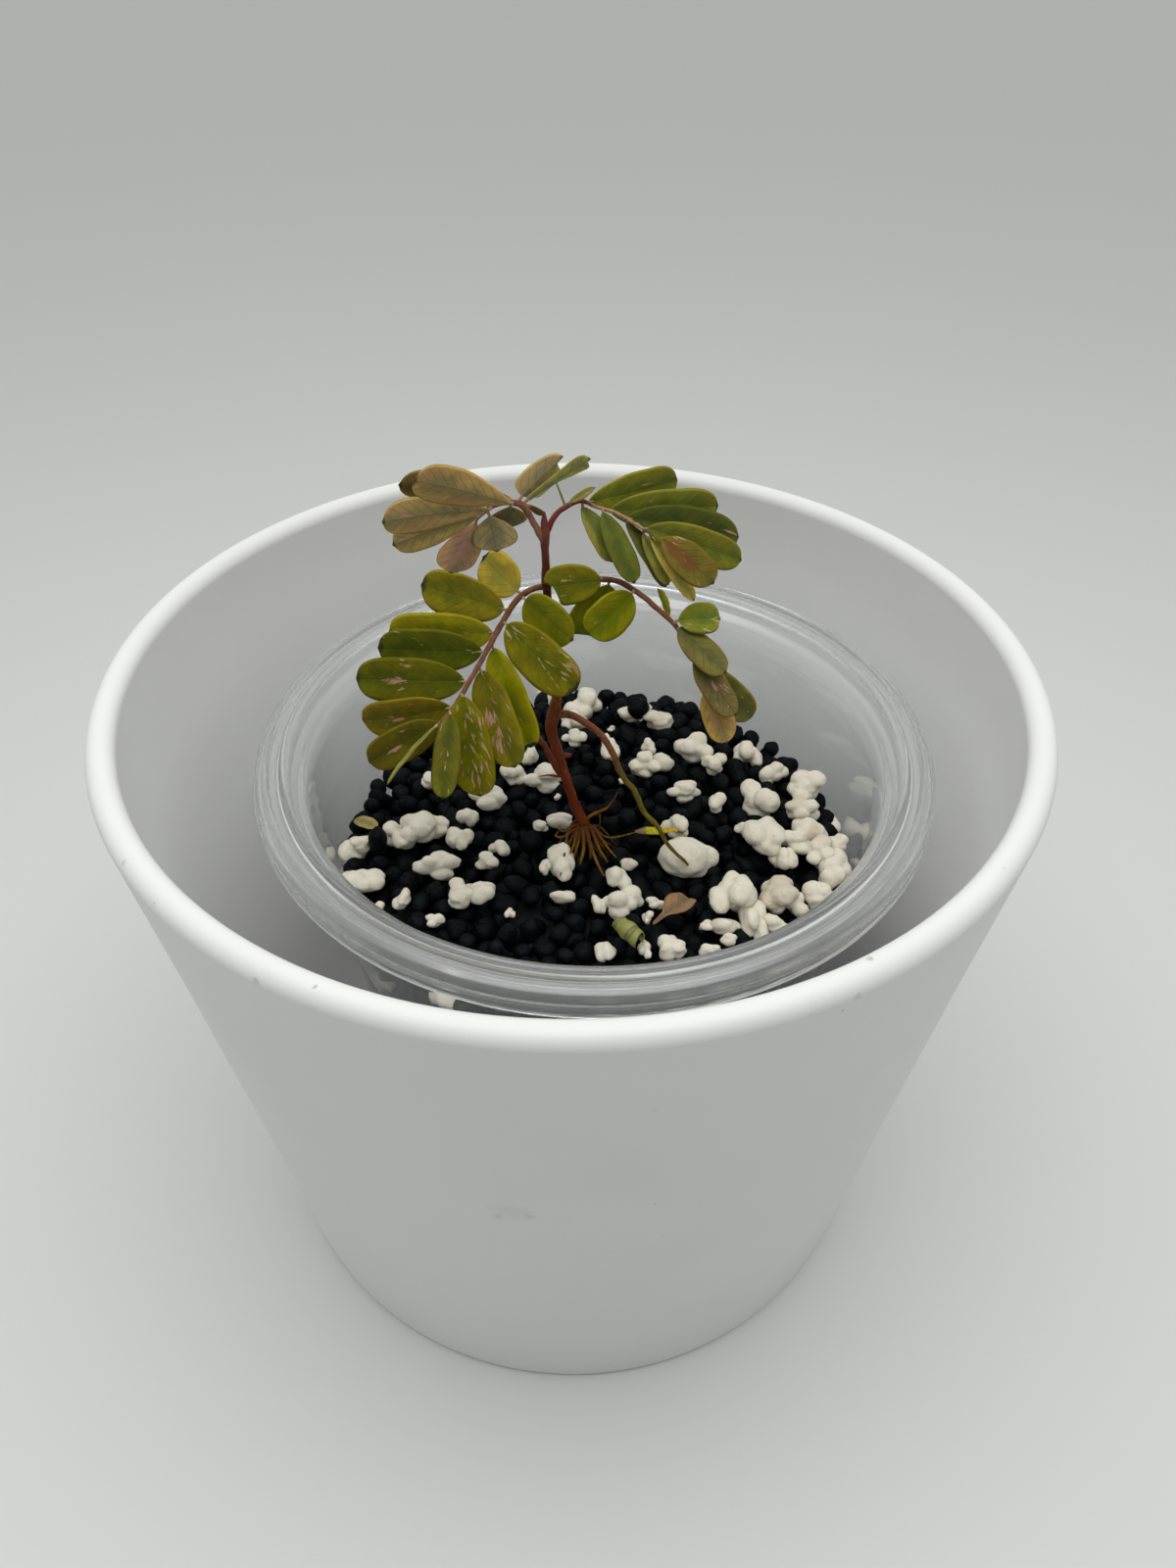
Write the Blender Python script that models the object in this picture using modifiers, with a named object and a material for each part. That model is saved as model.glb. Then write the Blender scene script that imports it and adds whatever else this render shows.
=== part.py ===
"""Potted pink chamber bitter: a seedling in a clear cup that stands loose inside a white pot.

Every size in this file is in millimetres, and MM turns it into Blender's metres.
+Z is up, the origin is the centre of the pot's flat base, and the plant's best side faces -Y.
"""
import math

import bmesh
import bpy
from mathutils import Matrix, Vector, noise

MM = 0.001
CLEARANCE = 0.3

# Outer pot
POT_HEIGHT = 120.0
POT_RIM_RADIUS = 75.0
POT_BASE_RADIUS = 60.1
POT_LIP = 4.4
POT_WALL = 3.6
POT_FLOOR = 4.0
POT_FOOT_ROUND = 2.0
POT_FLOOR_CORNER = 3.0
POT_LIP_NECK = 7.0
POT_LIP_STEPS = 6
POT_STEPS = 36

# Inner cup, which stands a little off the pot's centre
CUP_CENTRE = (3.6, 4.2)
CUP_TOP = 102.3
CUP_RIM_RADIUS = 58.0
CUP_MOUTH_RADIUS = 52.2
CUP_LEDGE_DROP = 3.3
CUP_BODY_RADIUS = 49.8
CUP_TAPER = 0.12
CUP_WALL = 0.8
CUP_SKIRT = 4.9
CUP_RIM_THICKNESS = 1.5
CUP_GROOVE = 0.5
CUP_FLOOR_CORNER = 3.0
CUP_STEPS = 32
# Rim beads from the mouth outwards: distance from the mouth and depth below the top
CUP_RIM_STEPS = [
    (0.5, 0.0), (1.5, 0.0), (1.9, CUP_GROOVE), (3.4, CUP_GROOVE), (3.8, 0.1), (5.0, 0.1), (5.7, 0.9),
]

# Bed of pellets and perlite, measured to the tips of its grains
BED_EDGE_HEIGHT = 79.8
BED_MOUND = 3.2
BED_LUMP = 0.7
BED_RINGS = 10
BED_FLOOR_CORNER = 4.0
PELLET = 4.6
PERLITE_HEIGHT = 0.36
PERLITE_SINK = 0.1
PERLITE_TURN = 0.7

# The largest perlite lumps: x, y, width across x, width across y
PERLITE_LUMPS = [
    (20, -6, 11, 8), (27, -15, 7, 9), (30, -21, 5, 8), (35, -1, 8, 7), (43, -3, 6, 6),
    (15, 21, 9, 7), (23, 27, 7, 7), (-27, 1, 9, 8), (-36, -12, 6, 6), (-18, -15, 8, 6),
    (8, -18, 6, 6), (-6, 16, 7, 5), (2, 37, 7, 7), (44, 12, 6, 6),
]

# Stem: x, y, z and radius at each point, from the root crown to the bud between the top forks
STEM_ROUTE = [
    (1.8, -1.1, 86.2, 1.0), (0.3, -1.1, 90.2, 0.9), (-1.0, -1.2, 95.2, 0.85), (-2.1, -1.2, 99.8, 0.85),
    (-3.1, -1.1, 104.2, 0.85), (-3.8, -1.0, 107.2, 0.9), (-3.3, -1.0, 110.6, 0.95), (-2.7, -1.1, 114.8, 0.85),
    (-3.2, -1.2, 121.0, 0.7), (-3.8, -1.2, 129.0, 0.65), (-4.1, -1.1, 137.0, 0.6), (-4.2, -1.1, 142.0, 0.6),
    (-4.2, -1.1, 145.2, 0.6), (-4.1, -1.1, 147.0, 0.15),
]
CROWN_RADIUS = 1.25
STEM_SPACING = 3.2
BRANCH_SPACING = 2.2
HANGING_GAP = 1.5

# Old leafless branch that arches right and comes down on the largest perlite lump
HANGING_ROUTE = [
    (-3.2, -1.1, 110.4, 0.6), (0.3, -1.4, 110.4, 0.6), (3.2, -2.2, 108.8, 0.6), (5.4, -3.2, 105.7, 0.55),
    (7.3, -4.2, 102.7, 0.5), (9.6, -5.5, 98.1, 0.5), (11.1, -6.3, 95.6, 0.5), (13.9, -7.7, 91.1, 0.45),
    (16.2, -8.9, 88.0, 0.4), (19.6, -10.4, 85.2, 0.25),
]

# Short stub behind the bend of the stem
REAR_STUB_ROUTE = [(-3.2, 0.6, 97.9, 0.55), (-5.0, 2.5, 100.8, 0.55), (-7.0, 3.0, 103.9, 0.5)]

# Roots that stand on the bed round the crown: where each one ends, x and y from the crown.
# Each arches over the grains a little past halfway, and its middle line ends just above their tips.
ROOT_ARCH_PLACE = 0.55
ROOT_ARCH_RISE = 1.5
ROOT_TIP_RISE = 0.9
ROOT_RADII = (0.4, 0.35, 0.2)
ROOT_SPACING = 2.5
ROOT_ENDS = [
    (-4.3, -10.2), (-2.8, -5.6), (-4.6, 1.6), (-1.0, -8.0), (3.2, -9.4), (4.6, -7.6), (5.8, -5.6), (9.3, -0.4),
]
UPRIGHT_ROOT = [
    (1.8, -1.1, 85.2, 0.3), (4.0, -1.3, 87.2, 0.3), (5.3, -1.1, 88.9, 0.25), (6.8, -1.1, 91.4, 0.15),
]

# Leaf blades
BLADE_THICKNESS = 0.4
BLADE_FOLD = 9.0
BLADE_ROWS = 6
BLADE_SQUARENESS = 2.7
BLADE_ROUNDNESS = 2.1
BLADE_END_SHARE = 0.16
BLADE_LEAST_BEND = 0.5
SHINGLE = 12.0
STALK_GAP = 0.15
STALK_SPACING = 2.4
STALK_FINE_SPACING = 0.5

# Branchlets. The facing is the way the upper side looks: azimuth from -Y towards +X, then elevation.
# A route point is x, y, z and radius, starting at the axis of the stem; the stalk itself starts clear of it.
# A leaflet is: station along the stalk, angle to the stalk, length, width, lift, roll, bend, seat.
# The angle turns anticlockwise from the stalk's own direction, seen from the branchlet's upper side.
# Lift tips the blade out of the branchlet's plane, roll turns it about its midrib on top of the shingle,
# bend is the blade's whole curve, and seat is how far above the stalk's axis the blade starts.
# Widest is how far along a branchlet's blades are widest, as a share of their length.
BRANCHLETS = {
    "lower_left": {
        "facing": (-8, 34),
        "colour": (0.16, 0.19, 0.012),
        "widest": 0.57,
        "clear_of_stem": 1.3,
        "route": [
            (-4.0, -1.2, 134.7, 0.5), (-6.0, -1.3, 134.4, 0.5), (-8.4, -2.0, 133.0, 0.5),
            (-10.5, -3.4, 130.4, 0.5), (-13.9, -6.4, 125.2, 0.45), (-18.4, -10.0, 118.8, 0.4),
            (-21.2, -11.6, 116.0, 0.3),
        ],
        "leaflets": [
            (4, -78, 8.1, 6.4, -1, 4, 16, -0.1), (7.1, -72, 14.2, 7.2, -4, 10, 4, -0.5),
            (10.9, -60, 17.6, 6.4, -6, 8, 8, -0.9), (14.3, -61, 17.3, 6.2, -2, 2, 8, -0.9),
            (19.6, -59, 18.6, 6.2, -5, -2, 8, -0.5), (24.2, -43, 15.7, 5.6, -4, 12, 16, -1.1),
            (27.2, -16, 14, 5.6, -4, 0, 16, -0.7), (27.5, 1, 11.7, 5, 10, 62, 8, 1.1),
            (4.2, 99, 9.9, 6.8, 10, 16, 12, 0.3), (8.9, 76, 14.8, 6.8, 2, 6, 12, 0.5),
            (12.7, 43, 17.6, 6.2, -6, 4, 24, -0.9), (16.7, 49, 16.1, 6.6, -1, 2, 2, -0.7),
            (21.3, 38, 16.5, 6.5, -8, -4, 8, 1.1), (24.6, 32, 13.3, 4.2, 8, -2, 2, 1.1),
        ],
    },
    "lower_right": {
        "facing": (20, 35),
        "colour": (0.13, 0.18, 0.014),
        "widest": 0.57,
        "clear_of_stem": 1.3,
        "route": [
            (-4.0, -1.2, 135.4, 0.45), (0.7, -1.5, 135.9, 0.45), (4.0, -2.0, 136.4, 0.45),
            (6.6, -2.6, 136.4, 0.45), (9.5, -4.0, 135.4, 0.45), (12.1, -5.5, 133.8, 0.4),
            (15.3, -7.0, 131.3, 0.4), (18.0, -8.5, 127.3, 0.35), (20.6, -9.5, 121.9, 0.3),
        ],
        "leaflets": [
            (8.7, -166, 10.3, 5.8, 16, 8, 30, 0.9), (10, -100, 10.5, 6.2, -36, 8, 12, -0.3),
            (13.6, -97, 9.2, 6.4, -4, 0, 24, 0.9), (21.1, 149, 4.8, 2.8, 6, 80, 16, -1.1),
            (20.8, 47, 7.1, 4.6, -2, -12, 8, 1.1), (21.5, 2, 9.9, 4.4, 7, 154, 4, 0.5),
            (28.4, 23, 18.1, 4.6, -12, 4, 16, -0.7), (26.3, 1, 11.7, 4.6, 8, 150, 4, 0.9),
            (32.5, -7, 9.7, 4.2, 3, 158, 8, 0.1),
        ],
    },
    "upper_left": {
        "facing": (190, 8),
        "colour": (0.20, 0.15, 0.05),
        "widest": 0.72,
        "clear_of_stem": 3.1,
        "route": [
            (-4.2, -1.1, 142.2, 0.5), (-5.5, -1.6, 145.0, 0.5), (-6.6, -2.1, 147.6, 0.5),
            (-7.7, -2.5, 149.0, 0.5), (-9.6, -2.9, 149.4, 0.45), (-11.8, -3.2, 148.8, 0.4),
            (-13.9, -3.3, 147.0, 0.3),
        ],
        "leaflets": [
            (8, 3, 17, 5.8, -11, -6, 8, -0.7), (8, -12, 16.5, 5.6, 2, -2, 8, 1.1),
            (11.3, 24, 16.1, 5.4, -3, -4, 20, -1.1), (13, 26, 13.4, 5, 0, -2, 8, -0.9),
            (14.4, -20, 9.6, 5.6, -2, 0, 2, -0.1), (12.5, -64, 5.9, 4.8, -5, -18, 12, -0.5),
            (9, -90, 4.1, 4.4, 2, 0, 8, 0.3), (8.1, 110, 7.2, 3.6, 1, -2, 2, 0.7),
            (7.3, 96, 11.9, 2.6, -1, 4, 12, 0.3), (7.3, 176, 3.9, 1.2, 3, 2, 4, 1.1),
        ],
    },
    "upper_right": {
        "facing": (8, 42),
        "colour": (0.08, 0.13, 0.012),
        "widest": 0.6,
        "clear_of_stem": 1.4,
        "route": [
            (-4.1, -1.1, 143.8, 0.45), (-2.7, 0.3, 145.6, 0.45), (-1.4, 1.2, 146.4, 0.45),
            (1.0, 2.2, 147.1, 0.4), (3.5, 1.8, 146.3, 0.4), (6.8, 1.4, 145.3, 0.4),
            (11.2, 0.0, 143.1, 0.35), (13.2, -0.6, 142.2, 0.3),
        ],
        "leaflets": [
            (4.6, -3, 4.5, 1.6, 15, 24, 2, 1.1), (7.8, 27, 16.1, 6, -7, 18, 24, -0.7),
            (11.1, 21, 18.4, 6, -12, 12, 4, -0.7), (13.9, 24, 19.2, 5.8, -6, -12, 20, -0.7),
            (17.2, 16, 15.9, 5.2, -5, -2, 16, 1.1), (19.8, -16, 10.3, 5.4, 13, -10, 8, 1.1),
            (7.1, -64, 9.4, 3.8, 2, 10, 12, -0.7), (10.3, -50, 11.7, 4.2, 4, 8, 4, 0.5),
            (14.1, -20, 11.7, 3.2, -6, 8, 24, -1.3), (17.1, -28, 8.6, 2.8, -2, 0, 12, -1.1),
            (18.3, -24, 11.6, 2.6, 3, 0, 8, -0.7),
        ],
    },
}

SCRAP_TILT = 0.12
SCRAP_CLEAR_OF_GRAINS = 1.2
# Scraps on the bed: name, x, y, heading, length, width, widest, fold, bend, rise, colour
SCRAPS = [
    ("fallen_brown_leaf", 13.0, -23.6, 44, 9.4, 4.2, 0.72, 22, 20, 1.0, (0.19, 0.12, 0.07)),
    ("curled_green_leaf", 8.0, -22.0, -55, 7.0, 3.6, 0.5, 10, 60, 2.2, (0.10, 0.14, 0.03)),
    ("yellow_scrap", 13.2, 1.6, -35, 5.4, 2.6, 0.5, 8, 15, 0.3, (0.35, 0.33, 0.01)),
    ("olive_scrap", -40.2, 4.6, -30, 5.0, 3.0, 0.5, 12, 10, 0.6, (0.14, 0.12, 0.05)),
]


def clear_scene():
    """Start from an empty file."""
    for item in list(bpy.data.objects):
        bpy.data.objects.remove(item)


def add_material(name, colour, roughness, transmission=0.0):
    """One Principled material with a plain colour."""
    material = bpy.data.materials.new(name)
    material.use_nodes = True
    shader = material.node_tree.nodes["Principled BSDF"]
    shader.inputs["Base Color"].default_value = (*colour, 1.0)
    shader.inputs["Roughness"].default_value = roughness
    shader.inputs["Metallic"].default_value = 0.0
    shader.inputs["Transmission Weight"].default_value = transmission
    material.diffuse_color = (*colour, 1.0)
    return material


def add_object(name, data, material, collection):
    """Put a mesh or curve into the scene under its own name and material."""
    thing = bpy.data.objects.new(name, data)
    thing.data.materials.append(material)
    collection.objects.link(thing)
    return thing


def arc(radius, height, bend, start, end, steps):
    """Points of a round corner in a turned profile, centred at (radius, height)."""
    points = []
    for step in range(steps + 1):
        angle = math.radians(start + (end - start) * step / steps)
        points.append((radius + bend * math.cos(angle), height + bend * math.sin(angle)))
    return points


def add_turned(name, profile, centre, steps, material, collection):
    """Turn a profile of (radius, height) points about the upright axis through centre."""
    shape = bmesh.new()
    corners = [shape.verts.new((radius * MM, 0, height * MM)) for radius, height in profile]
    for one, other in zip(corners, corners[1:]):
        shape.edges.new((one, other))
    mesh = bpy.data.meshes.new(name)
    shape.to_mesh(mesh)
    shape.free()
    thing = add_object(name, mesh, material, collection)
    thing.location = (centre[0] * MM, centre[1] * MM, 0)
    screw = thing.modifiers.new("turn", "SCREW")
    screw.steps = steps
    screw.render_steps = steps
    screw.use_merge_vertices = True
    screw.merge_threshold = 0.00001
    return thing


def as_mesh_object(thing, collection):
    """Replace an object by the mesh that its modifiers or curve give."""
    bpy.context.view_layer.update()
    evaluated = thing.evaluated_get(bpy.context.evaluated_depsgraph_get())
    mesh = bpy.data.meshes.new_from_object(evaluated)
    name, place = thing.name, thing.matrix_world.copy()
    bpy.data.objects.remove(thing)
    shape = bmesh.new()
    shape.from_mesh(mesh)
    bmesh.ops.remove_doubles(shape, verts=shape.verts, dist=0.000001)
    shape.to_mesh(mesh)
    shape.free()
    solid = bpy.data.objects.new(name, mesh)
    solid.matrix_world = place
    collection.objects.link(solid)
    return solid


def unite(base, others, cutters):
    """Join other solids to a base solid, leaving them as hidden guides."""
    for other in others:
        for holder in list(other.users_collection):
            holder.objects.unlink(other)
        cutters.objects.link(other)
        other.hide_render = True
        other.display_type = "WIRE"
        join = base.modifiers.new("join " + other.name, "BOOLEAN")
        join.operation = "UNION"
        join.solver = "EXACT"
        join.object = other


def smooth_route(points, spacing, fineness=12):
    """Even points about a spacing apart on a smooth curve through (x, y, z, radius) points."""
    before_first = [2 * a - b for a, b in zip(points[0], points[1])]
    after_last = [2 * a - b for a, b in zip(points[-1], points[-2])]
    knots = [before_first, *points, after_last]
    fine = []
    for before, start, end, after in zip(knots, knots[1:], knots[2:], knots[3:]):
        for step in range(fineness):
            t = step / fineness
            fine.append([0.5 * (2 * b + (c - a) * t + (2 * a - 5 * b + 4 * c - d) * t ** 2
                                + (3 * b - a - 3 * c + d) * t ** 3)
                         for a, b, c, d in zip(before, start, end, after)])
    fine.append(list(points[-1]))
    lengths = [0.0]
    for one, other in zip(fine, fine[1:]):
        lengths.append(lengths[-1] + math.dist(one[:3], other[:3]))
    count = max(2, round(lengths[-1] / spacing))
    return [point_at(fine, lengths, lengths[-1] * step / count) for step in range(count + 1)]


def point_at(fine, lengths, station):
    """Point of a fine polyline at a distance along it."""
    for one, other, near, far in zip(fine, fine[1:], lengths, lengths[1:]):
        if station <= far:
            share = (station - near) / (far - near)
            return [a + (b - a) * share for a, b in zip(one, other)]
    return list(fine[-1])


def station_point(route, station, reach=0.5):
    """Point, direction and radius of a smooth route at a distance from its start."""
    lengths = [0.0]
    for one, other in zip(route, route[1:]):
        lengths.append(lengths[-1] + math.dist(one[:3], other[:3]))
    here = point_at(route, lengths, station)
    ahead = point_at(route, lengths, station + reach)
    behind = point_at(route, lengths, station - reach) if station > reach else list(route[0])
    return Vector(here[:3]), (Vector(ahead[:3]) - Vector(behind[:3])).normalized(), here[3]


def trimmed(route, distance):
    """A route with its first stretch cut away, which leaves room for the piece it grows from."""
    lengths = [0.0]
    for one, other in zip(route, route[1:]):
        lengths.append(lengths[-1] + math.dist(one[:3], other[:3]))
    kept = [point for point, length in zip(route, lengths) if length > distance + CLEARANCE]
    return [point_at(route, lengths, distance), *kept]


def add_tube(name, route, material, collection, resolution=1):
    """A round stem along a route of (x, y, z, radius) points, with closed ends."""
    curve = bpy.data.curves.new(name, "CURVE")
    curve.dimensions = "3D"
    curve.bevel_depth = MM
    curve.bevel_resolution = resolution
    curve.use_fill_caps = True
    spline = curve.splines.new("POLY")
    spline.points.add(len(route) - 1)
    for point, (x, y, z, radius) in zip(spline.points, route):
        point.co = (x * MM, y * MM, z * MM, 1)
        point.radius = radius
    return add_object(name, curve, material, collection)


def blade_outline(along, widest):
    """Half width of a leaflet as a share of its most, from base to tip: oblong, widest where it is told."""
    skewed = along ** (math.log(0.5) / math.log(widest))
    oblong = max(0.0, 1 - abs(2 * skewed - 1) ** BLADE_SQUARENESS) ** (1 / BLADE_ROUNDNESS)
    return max(oblong, BLADE_END_SHARE)


def add_blade(name, place, length, width, widest, fold, bend, material, collection):
    """A leaf blade: a grid drawn out to the leaf's outline, folded, bent and given its thickness."""
    fold, bend = math.radians(fold), math.radians(max(bend, BLADE_LEAST_BEND))
    shape = bmesh.new()
    bmesh.ops.create_grid(shape, x_segments=BLADE_ROWS, y_segments=2, size=1)
    for corner in shape.verts:
        along = 0.5 * (1 - math.cos(math.pi * (corner.co.x + 1) / 2))
        half = 0.5 * width * blade_outline(along, widest)
        turn = bend * along
        ridge = Vector((math.sin(turn), 0, math.cos(turn) - 1)) * (length / bend)
        raised = half * abs(corner.co.y) * math.sin(fold)
        sideways = Vector((0, half * corner.co.y * math.cos(fold), 0))
        corner.co = (ridge + sideways + raised * Vector((math.sin(turn), 0, math.cos(turn)))) * MM
    mesh = bpy.data.meshes.new(name)
    shape.to_mesh(mesh)
    shape.free()
    mesh.shade_smooth()
    thing = add_object(name, mesh, material, collection)
    thing.matrix_world = place
    shell = thing.modifiers.new("thickness", "SOLIDIFY")
    shell.thickness = BLADE_THICKNESS * MM
    shell.offset = 0
    return thing


def frame_matrix(origin, along, left):
    """Placement with X along a blade and Y to its left, origin in millimetres."""
    left = (left - along * left.dot(along)).normalized()
    up = along.cross(left)
    return Matrix.Translation(origin * MM) @ Matrix((along, left, up)).transposed().to_4x4()


def facing_vector(azimuth, elevation):
    """Direction that a branchlet's upper side looks in."""
    azimuth, elevation = math.radians(azimuth), math.radians(elevation)
    return Vector((math.sin(azimuth) * math.cos(elevation), -math.cos(azimuth) * math.cos(elevation),
                   math.sin(elevation)))


def make_pot(collection):
    """White plastic pot: tapered wall, full round lip, flat floor and flat base."""
    white = add_material("white_plastic", (0.78, 0.78, 0.76), 0.55)
    slope = (POT_RIM_RADIUS - POT_BASE_RADIUS) / POT_HEIGHT
    lip = POT_LIP / 2
    neck = POT_HEIGHT - POT_LIP_NECK
    corner = POT_FLOOR + POT_FLOOR_CORNER
    chamfer = POT_FOOT_ROUND * (1 - math.sqrt(0.5))
    profile = [
        (0, POT_FLOOR), (POT_BASE_RADIUS - POT_WALL - POT_FLOOR_CORNER, POT_FLOOR),
        (POT_BASE_RADIUS - POT_WALL + slope * corner, corner),
        (POT_BASE_RADIUS - POT_WALL + slope * neck, neck),
    ]
    profile += arc(POT_RIM_RADIUS - lip, POT_HEIGHT - lip, lip, 180, 0, POT_LIP_STEPS)
    profile += [
        (POT_BASE_RADIUS + slope * POT_FOOT_ROUND, POT_FOOT_ROUND), (POT_BASE_RADIUS - chamfer, chamfer),
        (POT_BASE_RADIUS - POT_FOOT_ROUND, 0), (0, 0),
    ]
    add_turned("outer_pot", profile, (0, 0), POT_STEPS, white, collection)


def cup_inner_radius(height):
    """Inside radius of the cup's tapered wall."""
    return CUP_BODY_RADIUS - CUP_TAPER * (CUP_TOP - CUP_LEDGE_DROP - height)


def make_cup(collection):
    """Clear cup: tapered wall, ledge below the mouth, beaded rim and a short skirt."""
    clear = add_material("clear_plastic", (0.85, 0.88, 0.88), 0.15, transmission=0.9)
    floor = POT_FLOOR + CLEARANCE
    ledge = CUP_TOP - CUP_LEDGE_DROP
    corner = floor + CUP_FLOOR_CORNER
    beads_under = CUP_TOP - CUP_RIM_THICKNESS
    inner = [
        (0, floor + CUP_WALL), (cup_inner_radius(floor) - CUP_FLOOR_CORNER, floor + CUP_WALL),
        (cup_inner_radius(corner), corner), (CUP_BODY_RADIUS, ledge - CUP_WALL),
        (CUP_MOUTH_RADIUS - CLEARANCE, ledge), (CUP_MOUTH_RADIUS, CUP_TOP - CUP_GROOVE),
    ]
    rim = [(CUP_MOUTH_RADIUS + outward, CUP_TOP - depth) for outward, depth in CUP_RIM_STEPS]
    under = [
        (CUP_RIM_RADIUS, CUP_TOP - CUP_SKIRT), (CUP_RIM_RADIUS - CUP_WALL, CUP_TOP - CUP_SKIRT),
        (CUP_RIM_RADIUS - CUP_WALL, beads_under), (CUP_MOUTH_RADIUS + CUP_WALL, beads_under),
        (CUP_MOUTH_RADIUS + CUP_WALL, ledge - CUP_WALL), (CUP_BODY_RADIUS + CUP_WALL, ledge - 2 * CUP_WALL),
        (cup_inner_radius(corner) + CUP_WALL, corner),
        (cup_inner_radius(floor) - CUP_FLOOR_CORNER + CUP_WALL, floor), (0, floor),
    ]
    add_turned("inner_cup", inner + rim + under, CUP_CENTRE, CUP_STEPS, clear, collection)


def bed_top(x, y):
    """Height of the grain tips at a point, leaving out the largest perlite lumps."""
    outward = math.hypot(x - CUP_CENTRE[0], y - CUP_CENTRE[1]) / cup_inner_radius(BED_EDGE_HEIGHT)
    grain = noise.noise(Vector((x, y, 0)) / PELLET)
    return BED_EDGE_HEIGHT + BED_MOUND * (1 - outward ** 2) + BED_LUMP * grain


def make_bed(collection, cutters):
    """Pellet bed: a turned filling of the cup with a lumpy top, joined to its largest perlite lumps."""
    black = add_material("pellet_substrate", (0.012, 0.02, 0.026), 0.8)
    floor = POT_FLOOR + CLEARANCE + CUP_WALL + CLEARANCE
    edge = cup_inner_radius(BED_EDGE_HEIGHT) - CLEARANCE
    corner = floor + BED_FLOOR_CORNER
    profile = [(edge * ring / BED_RINGS, BED_EDGE_HEIGHT) for ring in range(BED_RINGS + 1)]
    profile += [(cup_inner_radius(corner) - CLEARANCE, corner)]
    profile += [(cup_inner_radius(floor) - BED_FLOOR_CORNER, floor), (0, floor)]
    bed = as_mesh_object(add_turned("substrate", profile, CUP_CENTRE, CUP_STEPS, black, collection), collection)
    for vertex in bed.data.vertices:
        if vertex.co.z > (BED_EDGE_HEIGHT - BED_LUMP) * MM:
            x, y = vertex.co.x / MM + CUP_CENTRE[0], vertex.co.y / MM + CUP_CENTRE[1]
            vertex.co.z = bed_top(x, y) * MM
    lumps = []
    for number, (x, y, across, deep) in enumerate(PERLITE_LUMPS, 1):
        shape = bmesh.new()
        bmesh.ops.create_icosphere(shape, subdivisions=1, radius=0.5 * MM)
        tall = PERLITE_HEIGHT * (across + deep)
        bmesh.ops.scale(shape, vec=(across, deep, tall), verts=shape.verts)
        mesh = bpy.data.meshes.new("perlite_guide_%d" % number)
        shape.to_mesh(mesh)
        shape.free()
        lump = add_object("perlite_guide_%d" % number, mesh, black, collection)
        lump.location = (x * MM, y * MM, (bed_top(x, y) - PERLITE_SINK * tall) * MM)
        lump.rotation_euler = (0, 0, PERLITE_TURN * number)
        lumps.append(lump)
    unite(bed, lumps, cutters)


def make_stems(collection, cutters):
    """Main stem, the hanging branch, the rear stub and the root tuft."""
    red = add_material("red_stem", (0.11, 0.028, 0.016), 0.45)
    olive = add_material("olive_branch", (0.09, 0.06, 0.012), 0.5)
    amber = add_material("amber_root", (0.19, 0.075, 0.012), 0.5)
    add_tube("main_stem", smooth_route(STEM_ROUTE, STEM_SPACING), red, collection, resolution=2)
    hanging = smooth_route(HANGING_ROUTE, BRANCH_SPACING)
    add_tube("hanging_branch", trimmed(hanging, HANGING_GAP), olive, collection)
    add_tube("rear_branch_stub", smooth_route(REAR_STUB_ROUTE, BRANCH_SPACING), red, collection)

    foot = Vector(STEM_ROUTE[0][:3])
    crown_height = foot.z - CLEARANCE - CROWN_RADIUS
    shape = bmesh.new()
    bmesh.ops.create_icosphere(shape, subdivisions=2, radius=CROWN_RADIUS * MM)
    mesh = bpy.data.meshes.new("root_tuft")
    shape.to_mesh(mesh)
    shape.free()
    tuft = add_object("root_tuft", mesh, amber, collection)
    tuft.location = (foot.x * MM, foot.y * MM, crown_height * MM)
    roots = []
    for number, (east, north) in enumerate(ROOT_ENDS, 1):
        x, y = foot.x + east, foot.y + north
        arch_x, arch_y = foot.x + ROOT_ARCH_PLACE * east, foot.y + ROOT_ARCH_PLACE * north
        route = [
            (foot.x, foot.y, crown_height, ROOT_RADII[0]),
            (arch_x, arch_y, max(crown_height, bed_top(arch_x, arch_y) + ROOT_ARCH_RISE), ROOT_RADII[1]),
            (x, y, bed_top(x, y) + ROOT_TIP_RISE, ROOT_RADII[2]),
        ]
        path = smooth_route(route, ROOT_SPACING)
        roots.append(add_tube("root_guide_%d" % number, path, amber, collection, resolution=0))
    path = smooth_route(UPRIGHT_ROOT, ROOT_SPACING)
    roots.append(add_tube("root_guide_upright", path, amber, collection, resolution=0))
    unite(tuft, [as_mesh_object(root, collection) for root in roots], cutters)


def make_branchlet(name, branchlet, collection):
    """One stalk with its two rows of leaflets, each leaflet a blade of its own."""
    stalk = add_material(name + "_stalk", (0.17, 0.06, 0.035), 0.5)
    leaf = add_material(name + "_leaf", branchlet["colour"], 0.42)
    route = smooth_route(branchlet["route"], STALK_FINE_SPACING)
    coarse = smooth_route(branchlet["route"], STALK_SPACING)
    add_tube("branchlet_" + name, trimmed(coarse, branchlet["clear_of_stem"]), stalk, collection)

    upper = facing_vector(*branchlet["facing"])
    for number, entry in enumerate(branchlet["leaflets"], 1):
        station, angle, length, width, lift, roll, bend, seat = entry
        point, forward, radius = station_point(route, station)
        across = upper.cross(forward).normalized()
        angle, lift = math.radians(angle), math.radians(lift)
        along = (forward * math.cos(angle) + across * math.sin(angle)) * math.cos(lift) + upper * math.sin(lift)
        side = math.copysign(1, angle)
        turn = Matrix.Rotation(math.radians(side * (SHINGLE + roll)), 3, along)
        left = turn @ upper.cross(along).normalized()
        start = point + along * (radius + CLEARANCE + STALK_GAP) + upper * seat
        add_blade("leaflet_%s_%02d" % (name, number), frame_matrix(start, along, left),
                  length - radius, width, branchlet["widest"], BLADE_FOLD, bend, leaf, collection)


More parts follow.
